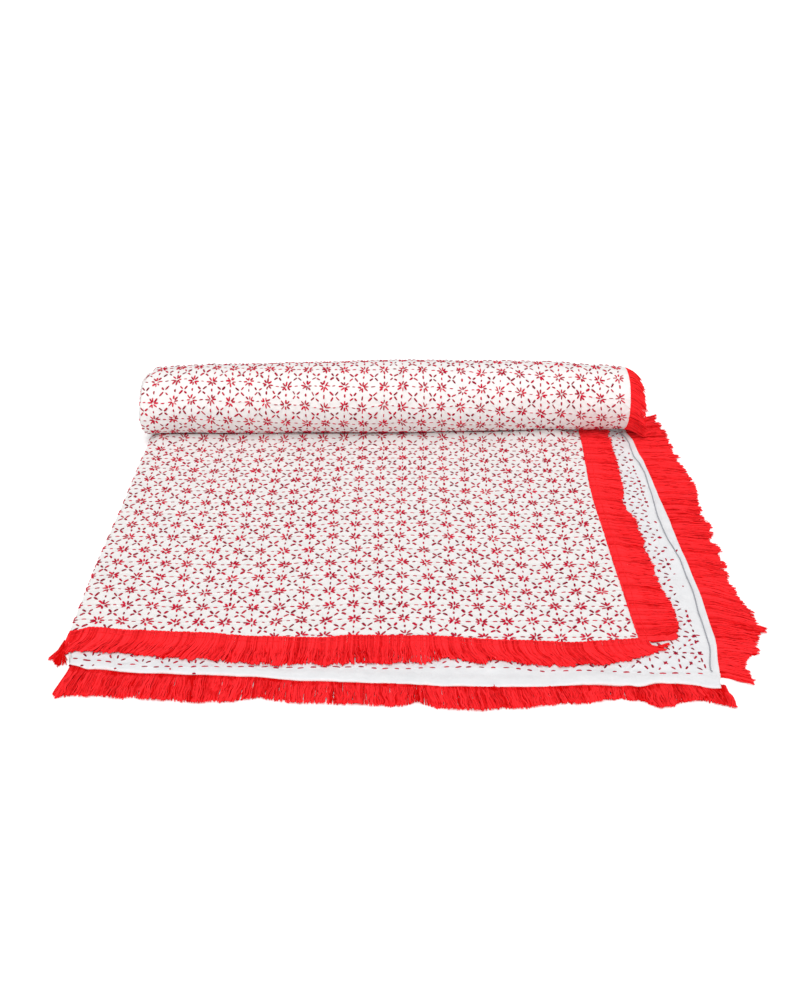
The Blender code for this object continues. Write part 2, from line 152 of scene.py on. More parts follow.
def lie(share, bend, along, radius):
    """A point of the folded cloth. share runs from the fold to a layer's right edge; bend is the angle
    round the fold, nothing on the upper layer and half a turn on the lower one; along runs from the front
    edge, 0, to where the roll begins, 1, and then counts turns; radius is the face's own radius at the
    fold, so a height above the floor of half the double layer plus radius times the bend's cosine."""
    lower = (1 - np.cos(bend)) / 2
    flat, turn = np.minimum(along, 1.0), np.maximum(along - 1.0, 0.0)
    base = FOLD_X + share * (UPPER_RIGHT - FOLD_X + lower * MARGIN_WIDTH)
    front = blend(UPPER_FRONT, base) * (1 - lower) + blend(LOWER_FRONT, base) * lower
    y = front + (roll_middle(base) - front) * flat
    wound = along > 1.0
    fold = np.where(wound, blend(ROLL_ENDS, turn), blend(FOLD_SIDE, y))
    upper_edge = np.where(wound, UPPER_SIDE[-1][1], blend(UPPER_SIDE, y))
    lower_edge = np.where(wound, blend(ROLL_ENDS, turn, 2), blend(LOWER_SIDE, y))
    edge = upper_edge * (1 - lower) + lower_edge * lower
    start = fold + FOLD_RADIUS
    x = start - radius * np.sin(bend) + share * (edge - start)
    height = FOLD_RADIUS + radius * np.cos(bend)
    level = np.stack([x, y, height], -1)
    return np.where(wound[..., None], wind(x, turn, height), level)


# The stitched lattice of the upper layer: stars a pitch apart both ways, as uneven as hand work is
PITCH = 0.0271
HAND = 0.055
UPPER_STAR = (-0.0424, -0.0953)
COLUMN_SWAY, ROW_SWAY = -0.0030, 0.0032


def hand_drift(i, j, seed):
    """How far the hand strayed, in pitches: one random step for each star, blended between them."""
    steps_both_ways = np.random.default_rng(seed).normal(0, HAND, (2, NOISE_CELLS, NOISE_CELLS))
    return between_cells(steps_both_ways.clip(-2 * HAND, 2 * HAND), i, j, smooth=False)


def upper_place(i, j):
    """x and y of a lattice point of the upper layer: even pitches, columns that sway over 14 rows and rows
    that sway over 12.5 columns, and the hand's own drift."""
    stray = hand_drift(i, j, seed=11)
    sway_x = COLUMN_SWAY * np.sin(math.pi * (j + 2) / 14) * np.cos(math.pi * (i + 1) / 20)
    sway_y = ROW_SWAY * np.cos(2 * math.pi * (i - 1.2) / 12.5)
    return (UPPER_STAR[0] + PITCH * (i + stray[0]) + sway_x,
            UPPER_STAR[1] + PITCH * (j + stray[1]) + sway_y)


# The lattice of the lower layer's inner face: x of one star, y of its last stitched row along x, how much
# of the hand's drift it has, and how much wider its first gap is
MARGIN_STAR = 0.1264
MARGIN_ROW = (
    (-0.338, -0.2330), (-0.305, -0.2365), (-0.265, -0.2450), (-0.236, -0.2500), (-0.186, -0.2480),
    (-0.120, -0.2485), (0.100, -0.2498), (0.153, -0.2534), (0.240, -0.2575), (0.306, -0.2595),
    (0.330, -0.2600),
)
MARGIN_DRIFT, FIRST_GAP = 0.6, 0.2


def margin_row(x):
    return blend(MARGIN_ROW, x)


def margin_place(i, j):
    """x and y of a lattice point of the lower layer, whose row 0 is the last one."""
    stray = MARGIN_DRIFT * hand_drift(i, j, seed=12)
    x = MARGIN_STAR + PITCH * (i + stray[0])
    return x, margin_row(x) + PITCH * (j + stray[1] + FIRST_GAP * np.clip(j, 0, 1))


# On the roll the stars' columns are a little closer, and the third row down the front drops at both ends:
# x, length of cloth from the floor up and over to that row
ROLL_PITCH = 0.02604
ROLL_STAR = 0.3067
ROLL_ROW = (
    (-0.345, 0.1973), (-0.294, 0.2008), (-0.244, 0.2060), (-0.193, 0.2117), (-0.144, 0.2209),
    (-0.091, 0.2252), (-0.039, 0.2279), (0.038, 0.2293), (0.141, 0.2304), (0.222, 0.2295),
    (0.250, 0.2263), (0.279, 0.2233), (0.322, 0.2149),
)
# The columns crowd towards the middle and lean apart down the front: columns, lean in metres a row
ROLL_COLUMNS, ROLL_CROWD = 24, -0.0090
LEAN_COLUMNS, ROLL_LEAN = (-24, -16, -8, 0), (-0.0029, -0.0008, 0.0002, 0.0012)


def turn_of(x, length):
    """Turns after which that length of cloth is wound: the inverse of a tightening spiral's length."""
    radius = roll_radius(x)
    return (radius - np.sqrt(np.maximum(radius**2 - length * DOUBLE / math.pi, 0.0))) / DOUBLE


def length_of(x, turn):
    """Length of cloth in so many turns of a spiral that tightens by a double layer each."""
    return 2 * math.pi * roll_radius(x) * turn - math.pi * DOUBLE * turn**2


def roll_place(i, j):
    """x and turn of a lattice point of the roll."""
    stray = hand_drift(i, j, seed=13)
    crowd = ROLL_CROWD * np.sin(math.pi * np.clip(-i / ROLL_COLUMNS, -0.1, 1.1))
    lean = np.interp(i, LEAN_COLUMNS, ROLL_LEAN) * np.clip(j, -4, 3)
    x = ROLL_STAR + ROLL_PITCH * (i + stray[0]) + crowd + lean
    return x, turn_of(x, blend(ROLL_ROW, x) + PITCH * (j + stray[1]))


def find(place, x, y, i, j, pitch=PITCH, way=lambda x, y: y):
    """Lattice numbers of a point: a first guess, moved by what its place leaves over, eight times. way
    gives the distance up the cloth of a point."""
    for _ in range(8):
        got_x, got_y = place(i, j)
        i, j = i + (x - got_x) / pitch, j + (way(x, y) - way(x, got_y)) / PITCH
    return i, j


def upper_lattice(x, y):
    return find(upper_place, x, y, (x - UPPER_STAR[0]) / PITCH, (y - UPPER_STAR[1]) / PITCH)


def margin_lattice(x, y):
    return find(margin_place, x, y, (x - MARGIN_STAR) / PITCH, (y - margin_row(x)) / PITCH)


def roll_lattice(x, turn):
    row = (length_of(x, turn) - blend(ROLL_ROW, x)) / PITCH
    return find(roll_place, x, turn, (x - ROLL_STAR) / ROLL_PITCH, row, ROLL_PITCH, length_of)


# Relief of the stitching, height and reach: stars and the crossings between them sink, the rest is plump
STAR_DIMPLE, STAR_REACH = 0.00055, 0.0052
CROSS_DIMPLE, CROSS_REACH = 0.00040, 0.0048
PLUMP, PLUMP_REACH = 0.00042, 0.0035
# Unevenness of the stitched cloth, the margin's front and side, the upper layer and the roll: height,
# share of x, share of y, size, seed
PUCKER_NOISE = ((0.00022, 1, 1, 0.42, 21), (0.00030, 1, 1, 1.3, 22))
FRONT_RIPPLES = ((0.0010, 1, 0.22, 0.0085, 31), (0.0010, 1, 0.3, 0.021, 32))
SIDE_RIPPLES = ((0.0006, 0.6, 1, 0.014, 33), (0.0008, 1, 1, 0.030, 34))
UPPER_NOISE = ((0.00045, 1, 1, 0.075, 41), (0.0003, 1, 1, 0.034, 42))
ROLL_NOISE = ((0.0007, 1, 1, 0.09, 51), (0.0004, 1, 0.3, 0.035, 52))
# Where the margin's stitched part ends, in pitches: its fade, how much of it is left at row 0, last column
SEWN_FADE, FRONT_SEWN, LAST_COLUMN = 0.5, 0.6, 7.3
# The hem's machine seam: y, x. Beside it: height, distance from the seam, reach
HEM_SEAM = (
    (-0.256, 0.320), (-0.209, 0.328), (-0.165, 0.329), (-0.113, 0.332), (-0.062, 0.331), (0.006, 0.325),
    (0.038, 0.324), (0.103, 0.327), (0.144, 0.3277), (0.170, 0.3261), (0.195, 0.3217), (0.212, 0.3212),
    (0.229, 0.3220), (0.243, 0.3198), (0.258, 0.3154),
)
SEAM_END, SEAM_FADE = -0.256, 0.004
HEM_FORM = ((-0.0017, 0.0, 0.0023), (0.0013, 0.0050, 0.0026))
# The heading under the lower layer's front lifts it: height, how far in it is full, and how it fades
LIFT, LIFT_PLACE, LIFT_FADE = 0.0013, 0.009, 0.010
# The upper layer swells in front of the roll: height, how far ahead it is full and how it fades, the slit
# that it leaves below the roll, and where it ends at the trimmed edge
SWELL, SWELL_FULL, SWELL_REACH, SLIT = 0.0078, 0.020, 0.028, 0.0030
SWELL_END, SWELL_FADE = 0.250, 0.026
# The upper layer's relief fades out this far before the roll's middle, and ends under the headings:
# distance from the edge, fade. Then what the padding adds to it
NIP, TRIM_CALM, TRIM_FADE, PADDING = 0.012, 0.0095, 0.004, 0.0004
# The short crease across the roll's top: x, turn, half its length, its slant. Across it, as for the hem
CREASE_X, CREASE_TURN, CREASE_HALF, CREASE_SLANT = 0.0105, 0.600, 0.026, 0.12
CREASE_FORM = ((-0.0032, 0.0, 0.0022), (0.00128, 0.0055, 0.0035))
# The roll's face is smooth where it lies on the floor and where it closes: turns
FOOT_FADE, SHUT, SHUT_FADE = 0.06, 0.985, 0.03


def beside(value):
    """Distance to the nearest whole number."""
    return np.abs(value - np.round(value))


def pucker(i, j):
    """Relief of the stitched cloth, in metres: it sinks at each star and a little along the stitched lines
    through the stars, swells between them, and is uneven at two sizes."""
    star = bell(PITCH * np.hypot(beside(i), beside(j)), STAR_REACH)
    cross = bell(PITCH * np.hypot(beside(i + 0.5), beside(j + 0.5)), CROSS_REACH)
    plump = 1 - bell(PITCH * np.minimum(beside(i), beside(j)), PLUMP_REACH)
    return PLUMP * plump - STAR_DIMPLE * star - CROSS_DIMPLE * cross + uneven(i, j, PUCKER_NOISE)


def wrinkles(x, y):
    """Relief of the plain margin: soft ripples that run in from the edge, and slow unevenness."""
    front = np.clip((margin_row(x) + 0.004 - y) / 0.010, 0, 1)
    return uneven(x, y, FRONT_RIPPLES) * (0.35 + 0.65 * front) + uneven(x, y, SIDE_RIPPLES) * (1 - front)


def hem_relief(x, y):
    """Relief of the lower layer's hem: it dips along the machine seam and puffs up beside it."""
    return line_form(x - blend(HEM_SEAM, y), HEM_FORM) * np.clip((y - SEAM_END) / SEAM_FADE, 0, 1)


def heading_lift(x, y):
    """How far the lower layer's front edge is raised by the heading of the fringe under it."""
    return LIFT * (1 - ease((y - blend(LOWER_FRONT, x) - LIFT_PLACE) / LIFT_FADE))


def under_roll(x, y):
    """How far the upper layer's top swells in front of the roll that weighs on it: a smooth step up towards
    the roll, down to a thin slit below the roll's own underside, and nothing at the trimmed right edge."""
    ahead = roll_middle(x) - y
    round_one = roll_radius(x) - 0.95 * DOUBLE
    gap = round_one - np.sqrt(np.maximum(round_one**2 - np.minimum(ahead, 0.9 * round_one) ** 2, 0.0))
    swell = SWELL * ease((SWELL_FULL + SWELL_REACH - ahead) / SWELL_REACH)
    return np.minimum(swell, np.maximum(gap - SLIT, 0.0)) * ease((SWELL_END - x) / SWELL_FADE)


def upper_relief(x, y):
    """Relief of the upper layer's top: puckers, slow waves, the swelling by the roll, and no more than that
    where the roll lies on it."""
    i, j = upper_lattice(x, y)
    nip = np.clip((roll_middle(x) - NIP - y) / NIP, 0, 1)
    inside = np.minimum(y - blend(UPPER_FRONT, x), blend(UPPER_SIDE, y) - x)
    calm = np.clip((inside - TRIM_CALM) / TRIM_FADE, 0, 1)
    return (pucker(i, j) + uneven(x, y, UPPER_NOISE) + PADDING) * nip * calm + under_roll(x, y)


def margin_sewn(i, j):
    """1 where the lower layer is stitched, fading to 0 over half a pitch on its plain hem."""
    return np.clip(j / SEWN_FADE + FRONT_SEWN, 0, 1) * np.clip((LAST_COLUMN - i) / SEWN_FADE, 0, 1)


def margin_relief(x, y):
    """Relief of the margin: softer puckers where it is stitched, ripples, the hem, and the lifted edge."""
    i, j = margin_lattice(x, y)
    return 0.9 * pucker(i, j) * margin_sewn(i, j) + wrinkles(x, y) + hem_relief(x, y) + heading_lift(x, y)


def roll_relief(x, turn):
    """Relief of the roll's outer face: puckers, slow dents, and one short crease across its top."""
    i, j = roll_lattice(x, turn)
    length = length_of(x, turn) - length_of(x, CREASE_TURN)
    crease = line_form(x - CREASE_X - CREASE_SLANT * length, CREASE_FORM)
    crease = crease * np.exp(-(length / CREASE_HALF) ** 4)
    free = np.clip(turn / FOOT_FADE, 0, 1) * np.clip((SHUT - turn) / SHUT_FADE, 0, 1)
    return (pucker(i, j) + uneven(x, turn, ROLL_NOISE) + crease) * free


# The cloth's own grid: stations from the upper layer's right edge to the fold, round it, and out to the
# lower layer's right edge; rows from the front edge to the roll, once round it, and on to its core
CELL = 0.0030
BLOCK = 4
WOUND_BLOCKS = 24


def cells(length):
    """Cells along a length, in whole blocks."""
    return BLOCK * round(length / CELL / BLOCK)


upper_cells, lower_cells, fold_cells = cells(UPPER_WIDTH), cells(LOWER_WIDTH), 2 * BLOCK
flat_cells, first_cells = cells(FLAT_LENGTH), cells(2 * math.pi * ROLL_RADIUS * OPEN_TURN)
wound_cells = BLOCK * round((TURNS - OPEN_TURN) * WOUND_BLOCKS)
station_share = np.concatenate([np.linspace(1, 0, upper_cells + 1), np.zeros(fold_cells - 1),
                                np.linspace(0, 1, lower_cells + 1)])
station_bend = np.concatenate([np.zeros(upper_cells), np.linspace(0, math.pi, fold_cells + 1),
                               np.full(lower_cells, math.pi)])
row_along = np.concatenate([np.linspace(0, 1, flat_cells + 1),
                            1 + np.linspace(0, OPEN_TURN, first_cells + 1)[1:],
                            1 + np.linspace(OPEN_TURN, TURNS, wound_cells + 1)[1:]])
fold_start, fold_end = upper_cells, upper_cells + fold_cells
last_station, last_row = len(station_share) - 1, len(row_along) - 1
roll_start, roll_shut = flat_cells, flat_cells + first_cells
shares, bends, alongs = np.broadcast_arrays(station_share[:, None], station_bend[:, None], row_along)


def unit(vectors):
    return vectors / np.maximum(np.linalg.norm(vectors, axis=-1, keepdims=True), 1e-12)


def outward(points):
    """Unit normals of a grid of points, from its two directions."""
    return unit(np.cross(np.gradient(points, axis=1), np.gradient(points, axis=0)))


outer, inner = lie(shares, bends, alongs, FOLD_RADIUS), lie(shares, bends, alongs, INNER_RADIUS)
out_normal, in_normal = outward(outer), -outward(inner)

# Which parts of the two faces show, and how far each is raised. The cloth counts as level up to this angle
# round the fold, and its relief fades out over this distance from the fold
LEVEL_BEND, FOLD_FADE = 0.5, 0.010
is_upper, is_lower, is_flat = bends < LEVEL_BEND, bends > math.pi - LEVEL_BEND, alongs <= 1.0
turns = np.maximum(alongs - 1.0, 0.0)
fold_fade = np.clip(shares * UPPER_WIDTH / FOLD_FADE, 0, 1)
raise_upper = upper_relief(outer[..., 0], outer[..., 1]) * fold_fade
raise_roll = roll_relief(outer[..., 0], np.minimum(turns, 1.0)) * fold_fade
raise_margin = margin_relief(inner[..., 0], inner[..., 1]) * fold_fade
outer_raise = np.where(is_upper & is_flat, raise_upper, 0.0)
outer_raise = np.where(is_lower & ~is_flat, raise_roll, outer_raise)
outer_raise = np.where(is_lower & is_flat, -heading_lift(outer[..., 0], outer[..., 1]), outer_raise)
outer = outer + out_normal * outer_raise[..., None]
inner = inner + in_normal * np.where(is_lower & is_flat, raise_margin, 0.0)[..., None]
outer[..., 2] = np.maximum(outer[..., 2], 0.0)

# The inner face shows on the margin alone: from a share of the layer's width on, and up to one of its depth
STRIP_FROM, STRIP_DEPTH = 0.875, 0.155
strip_stations = fold_end + BLOCK * round(lower_cells * STRIP_FROM / BLOCK)
strip_rows = BLOCK * round(flat_cells * STRIP_DEPTH / BLOCK)


def steps(total, wanted):
    """The largest step up to the wanted one that divides a number of cells."""
    return max(k for k in range(1, wanted + 1) if total % k == 0)


# Hidden parts have wide cells: under the layers both ways, and in the roll along it
HIDDEN_CELL, WOUND_UPPER_CELL, WOUND_LOWER_CELL = 12, 50, 56
under_lower, under_upper = steps(lower_cells, HIDDEN_CELL), steps(upper_cells, HIDDEN_CELL)
under_strip, under_flat = steps(strip_stations - fold_end, HIDDEN_CELL), steps(flat_cells, HIDDEN_CELL)
wound_upper, wound_lower = steps(upper_cells, WOUND_UPPER_CELL), steps(lower_cells, WOUND_LOWER_CELL)
# Patches of the faces: first and last station, first and last row, cells across and along in one face
OUTER_PATCHES = (
    (0, fold_start, 0, roll_start, 1, 1),
    (fold_start, fold_end, 0, roll_shut, 1, 1),
    (fold_end, last_station, roll_start, roll_shut, 1, 1),
    (fold_end, last_station, 0, roll_start, under_lower, under_flat),
    (0, fold_start, roll_start, roll_shut, wound_upper, BLOCK),
    (0, fold_start, roll_shut, last_row, wound_upper, BLOCK),
    (fold_start, fold_end, roll_shut, last_row, 1, 2),
    (fold_end, last_station, roll_shut, last_row, wound_lower, BLOCK),
)
INNER_PATCHES = (
    (0, fold_start, 0, roll_start, under_upper, under_flat),
    (fold_start, fold_end, 0, roll_shut, 2, BLOCK),
    (fold_end, last_station, 0, strip_rows, 1, 1),
    (strip_stations, last_station, strip_rows, roll_start, 1, 1),
    (fold_end, strip_stations, strip_rows, roll_start, under_strip, BLOCK),
    (fold_end, last_station, roll_start, roll_shut, wound_lower, BLOCK),
    (0, fold_start, roll_start, roll_shut, wound_upper, BLOCK),
    (0, fold_start, roll_shut, last_row, wound_upper, BLOCK),
    (fold_start, fold_end, roll_shut, last_row, 2, 2),
    (fold_end, last_station, roll_shut, last_row, wound_lower, BLOCK),
)


def used_points(patches):
    """Marks the grid points that the patches' cells have at their corners."""
    used = np.zeros(shares.shape, bool)
    for a, b, c, d, across, down in patches:
        used[a:b + 1:across, c:d + 1:down] = True
    return used


def rings(patches, used, numbers):
    """Corner numbers of every cell and the length of its ring. A cell's ring goes along its four sides and
    takes in each used point on them, so cells of two sizes share their side's points."""
    loops, sizes = [], []
    for a, b, c, d, across, down in patches:
        one, two = np.meshgrid(np.arange(a, b, across), np.arange(c, d, down), indexing="ij")
        over, up = np.arange(across), np.arange(down)
        ring_a = np.concatenate([over, np.full(down, across), across - over, np.zeros(down, int)])
        ring_b = np.concatenate([np.zeros(across, int), up, np.full(across, down), down - up])
        at = one.reshape(-1, 1) + ring_a, two.reshape(-1, 1) + ring_b
        loops.append(numbers[at][used[at]])
        sizes.append(used[at].sum(1))
    return np.concatenate(loops), np.concatenate(sizes)


def reverse_rings(loops, sizes):
    """The same rings the other way round."""
    ends = np.cumsum(sizes)
    place = np.arange(len(loops))
    which = np.searchsorted(ends, place, side="right")
    return loops[ends[which] - 1 - (place - (ends[which] - sizes[which]))]


# The rim joins the two faces all round by one line of points midway between them and a little outside
RIM_BULGE = 0.3
used_outer, used_inner = used_points(OUTER_PATCHES), used_points(INNER_PATCHES)
rim_a = np.concatenate([np.arange(last_station), np.full(last_row, last_station),
                        np.arange(last_station, 0, -1), np.zeros(last_row, int)])
rim_b = np.concatenate([np.zeros(last_station, int), np.arange(last_row),
                        np.full(last_station, last_row), np.arange(last_row, 0, -1)])
rim_used = used_outer[rim_a, rim_b] | used_inner[rim_a, rim_b]
rim = rim_a[rim_used], rim_b[rim_used]
used_outer[rim] = used_inner[rim] = True
outer_numbers = np.cumsum(used_outer).reshape(used_outer.shape) - 1
inner_numbers = np.cumsum(used_inner).reshape(used_inner.shape) - 1 + used_outer.sum()
rim_numbers = np.arange(len(rim[0])) + used_outer.sum() + used_inner.sum()
middle = (outer + inner) / 2
beside_rim = tuple(np.clip(place, 1, last - 1) for place, last in zip(rim, (last_station, last_row)))
rim_points = middle[rim] + unit(middle[rim] - middle[beside_rim]) * THICKNESS * RIM_BULGE

outer_loops, outer_sizes = rings(OUTER_PATCHES, used_outer, outer_numbers)
inner_loops, inner_sizes = rings(INNER_PATCHES, used_inner, inner_numbers)
rim_outer, rim_inner = outer_numbers[rim], inner_numbers[rim]
rim_faces = np.concatenate([
    np.stack([np.roll(rim_outer, -1), rim_outer, rim_numbers, np.roll(rim_numbers, -1)], 1),
    np.stack([np.roll(rim_numbers, -1), rim_numbers, rim_inner, np.roll(rim_inner, -1)], 1),
])


def add_object(name, data):
    item = bpy.data.objects.new(name, data)
    bpy.context.scene.collection.objects.link(item)
    return item


def make_mesh(name, points, loops, sizes):
    """A smooth mesh from points and rings of corner numbers."""
    mesh = bpy.data.meshes.new(name)
    mesh.vertices.add(len(points))
    mesh.vertices.foreach_set("co", np.asarray(points, np.float32).ravel())
    mesh.loops.add(len(loops))
    mesh.loops.foreach_set("vertex_index", loops.astype(np.int32))
    mesh.polygons.add(len(sizes))
    mesh.polygons.foreach_set("loop_start", (np.cumsum(sizes) - sizes).astype(np.int32))
    mesh.polygons.foreach_set("use_smooth", np.ones(len(sizes), bool))
    mesh.update(calc_edges=True)
    mesh.validate()
    return add_object(name, mesh)


def paint_numbers(item, name, values):
    """A number for each point, for the finish to read."""
    item.data.attributes.new(name, "FLOAT", "POINT").data.foreach_set("value", values.astype(np.float32))


quilt = make_mesh(
    "quilt_cloth",
    np.concatenate([outer[used_outer], inner[used_inner], rim_points]),
    np.concatenate([outer_loops, reverse_rings(inner_loops, inner_sizes), rim_faces.ravel()]),
    np.concatenate([outer_sizes, inner_sizes, np.full(len(rim_faces), 4)]),
)
# Where the drawn rows begin on the wound cloth: y of the roll's foot, y of its centre, depth of the margin
ROLL_FOOT, ROLL_CENTRE, MARGIN_DEPTH = 0.27, 0.266, 0.25


def lattice_of(face, of_inner):
    """Lattice numbers of a whole face: the upper layer's, the roll's, or the margin's. Round the fold they
    go on by the way along the cloth, not by x alone."""
    x, y = face[..., 0], face[..., 1]
    x = x + FOLD_RADIUS * (np.sin(bends) - np.minimum(bends, math.pi - bends))
    length = length_of(x, turns)
    flat_i, flat_j = upper_lattice(x, y)
    flat_j = np.where(is_flat, flat_j, (ROLL_FOOT - UPPER_STAR[1] + length) / PITCH)
    if of_inner:
        low_i, low_j = margin_lattice(x, y)
        low_j = np.where(is_flat, low_j, (ROLL_FOOT + MARGIN_DEPTH + length) / PITCH)
    else:
        low_i, low_j = roll_lattice(x, turns)
        low_j = np.where(is_flat, (y - ROLL_CENTRE - blend(ROLL_ROW, x)) / PITCH, low_j)
    return np.where(is_lower, low_i, flat_i), np.where(is_lower, low_j, flat_j)


outer_i, outer_j = lattice_of(outer, of_inner=False)
inner_i, inner_j = lattice_of(inner, of_inner=True)
threaded = (is_upper & is_flat) | (~is_upper & ~is_flat & (turns < 1.0))
on_margin = is_lower & is_flat
nought, full = np.zeros(shares.shape), np.ones(shares.shape)
# Numbers for the finish: name, on the outer face, on the inner face, on the rim
PAINTED = (
    ("lattice_i", outer_i, inner_i, outer_i),
    ("lattice_j", outer_j, inner_j, outer_j),
    ("drawn", np.where(threaded, 0.0, 1.0), np.where(on_margin, 0.0, 1.0), nought),
    ("sewn", full, np.where(on_margin, margin_sewn(inner_i, inner_j), 1.0), nought),
    ("inner_face", nought, full, nought),
)
for number, on_outer, on_inner, on_rim in PAINTED:
    paint_numbers(quilt, number, np.concatenate([on_outer[used_outer], on_inner[used_inner], on_rim[rim]]))


class Value:
    """A socket with arithmetic: an expression on values adds its Math nodes."""

    def __init__(self, finish, socket):
        self.finish = finish
        self.socket = socket

    def maths(self, operation, *others):
        return self.finish.node("ShaderNodeMath", {"operation": operation}, [self, *others]).out()

    def __add__(self, other):
        return self.maths("ADD", other)

    def __sub__(self, other):
        return self.maths("SUBTRACT", other)

    def __rsub__(self, other):
        return self.finish.node("ShaderNodeMath", {"operation": "SUBTRACT"}, [other, self]).out()

    def __mul__(self, other):
        return self.maths("MULTIPLY", other)

    def __truediv__(self, other):
        return self.maths("DIVIDE", other)

    __radd__, __rmul__ = __add__, __mul__

    def least(self, other):
        return self.maths("MINIMUM", other)

    def most(self, other):
        return self.maths("MAXIMUM", other)

    def beside(self):
        """Distance to the nearest whole number."""
        return self.maths("PINGPONG", 0.5)

    def below(self, limit, soft_edge):
        """1 well below a limit and 0 above it, with a soft edge."""
        values = {"Value": self, "From Min": limit - soft_edge, "From Max": limit + soft_edge,
                  "To Min": 1.0, "To Max": 0.0}
        made = self.finish.node("ShaderNodeMapRange", {"interpolation_type": "SMOOTHSTEP"}, values)
        return made.out("Result")


class Node:
    """A node whose outputs come back as values."""

    def __init__(self, finish, made):
        self.finish = finish
        self.made = made

    def out(self, name=0):
        return Value(self.finish, self.made.outputs[name])


class Nodes:
    """A node tree whose nodes come from one method."""

    def __init__(self, tree):
        self.tree = tree

    def node(self, kind, settings=None, values=()):
        """Adds a node: its settings first, then the values or links of its sockets."""
        made = self.tree.nodes.new(kind)
        for name, value in (settings or {}).items():
            setattr(made, name, value)
        for name, value in values.items() if isinstance(values, dict) else enumerate(values):
            self.join(made.inputs[name], value)
        return Node(self, made)

    def join(self, socket, value):
        """Links a value to a socket, or sets the socket to a plain number or colour."""
        if isinstance(value, Value):
            self.tree.links.new(value.socket, socket)
        else:
            socket.default_value = value

    def mix(self, share, one, two):
        """A colour between two."""
        return self.node("ShaderNodeMix", {"data_type": "RGBA"}, {0: share, 6: one, 7: two}).out(2)

    def noise(self, vector, scale, detail=2.0, roughness=0.5):
        values = {"Vector": vector, "Scale": scale, "Detail": detail, "Roughness": roughness}
        return self.node("ShaderNodeTexNoise", {}, values).out()

    def bump(self, height, distance, strength, **normal):
        values = {"Height": height, "Distance": distance, "Strength": strength, **normal}
        return self.node("ShaderNodeBump", {}, values).out()

    def read(self, name):
        """The value of a mesh's own number."""
        return self.node("ShaderNodeAttribute", {"attribute_name": name}).out("Fac")

    def place(self):
        """The point's own coordinates on its piece."""
        return self.node("ShaderNodeTexCoord").out("Object")


class Finish(Nodes):
    """A material, its nodes and its shader."""

    def __init__(self, name):
        self.material = bpy.data.materials.new(name)
        self.material.use_nodes = True
        super().__init__(self.material.node_tree)
        self.shader = self.tree.nodes["Principled BSDF"]

    def set(self, **values):
        """Sets or links the shader's own sockets, with _ for a space in a name."""
        for name, value in values.items():
            self.join(self.shader.inputs[name.replace("_", " ")], value)


def linear(*screen):
    """A screen colour, three numbers up to 255, as light."""
    shares = [level / 255 for level in screen]
    return (*(((c + 0.055) / 1.055) ** 2.4 if c > 0.04 else c / 12.92 for c in shares), 1.0)


WHITE, WARM_SHADE = linear(229, 226, 224), linear(215, 213, 211)
PLAIN_WHITE, PLAIN_SHADE = linear(224, 223, 224), linear(209, 210, 212)
THREAD_RED, THREAD_DARK = linear(212, 22, 57), linear(112, 4, 34)
# Drawn stitches, in pitches: half their length and half their width, each with the softness of its edge
DASH_LENGTH, DASH_WIDTH = (0.095, 0.012), (0.028, 0.008)

cotton = Finish("white_cotton")
cotton_place = cotton.place()
star_i, star_j = cotton.read("lattice_i"), cotton.read("lattice_j")
face_in = cotton.read("inner_face")
# Distance from the stitched lines, in pitches, for the puckers
rise, fall = star_i + star_j, star_i - star_j
SLANT = 1 / math.sqrt(2)
off_lines = star_i.beside().least(star_j.beside()).least(rise.beside() * SLANT).least(fall.beside() * SLANT)
pillow = off_lines.maths("MULTIPLY", 9.0).maths("TANH") * cotton.read("sewn")
dash_start = 0.5 - face_in * 0.5


def dash(off_line, place, per_pitch):
    """1 on the drawn stitches of one set of lines: near a line, and near a stitch's middle along it."""
    off_middle = (place * per_pitch - dash_start).beside() / per_pitch
    return off_line.beside().below(*DASH_WIDTH) * off_middle.below(*DASH_LENGTH)


# The stitches of the hidden parts and of the underside are drawn, three a pitch and four to a diagonal
dashes = dash(star_j, star_i, 3.0).most(dash(star_i, star_j, 3.0))
dashes = dashes.most(dash(rise, fall * 0.5, 4.0)).most(dash(fall, rise * 0.5, 4.0))
mottle = cotton.noise(cotton_place, 90.0, 3.0)
sewn_colour = cotton.mix(mottle, WARM_SHADE, WHITE)
plain_colour = cotton.mix(mottle, PLAIN_SHADE, PLAIN_WHITE)
cloth_colour = cotton.mix(face_in, sewn_colour, plain_colour)
crumple = cotton.noise(cotton_place, 260.0, 3.0, 0.6)
weave = cotton.noise(cotton_place, 1500.0, 2.0, 0.7)
lumps = cotton.bump(pillow + crumple * 1.1, 0.0008, 0.75)
cotton.set(Base_Color=cotton.mix(dashes * cotton.read("drawn"), cloth_colour, THREAD_RED), Roughness=0.92,
           Specular_IOR_Level=0.15, Sheen_Weight=0.15, Normal=cotton.bump(weave, 0.0002, 0.35, Normal=lumps))
quilt.data.materials.append(cotton.material)
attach(quilt, "root")
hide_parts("quilt")


# The kantha stitches. Doubled crimson cotton thread, sewn by hand in running stitch along the rows, the
# columns and both diagonals of the lattice, so that eight stitches meet round each star.

# Half a stitch's width and height, and its rise. Its length along rows and columns, that of the short one
# in the middle of each three on the outer face, and its length along the diagonals
THREAD_WIDTH, THREAD_HEIGHT, THREAD_RISE = 0.00113, 0.00062, 0.00016
ROW_STITCH, SHORT_STITCH, SLANT_STITCH = 0.0064, 0.0050, 0.0066
# A stitch at its five stations: way along its half length, share of its girth, rise in heights
STITCH_ALONG = np.array((-1.0, -0.68, 0.0, 0.68, 1.0))
STITCH_GIRTH = np.array((0.0, 0.85, 1.0, 0.85, 0.0))
STITCH_RISE = np.array((-0.40, 0.10, 0.32, 0.10, -0.40))
STITCH_ANGLES = 2 * math.pi * np.arange(5) / 5
UP = np.array((0.0, 0.0, 1.0))
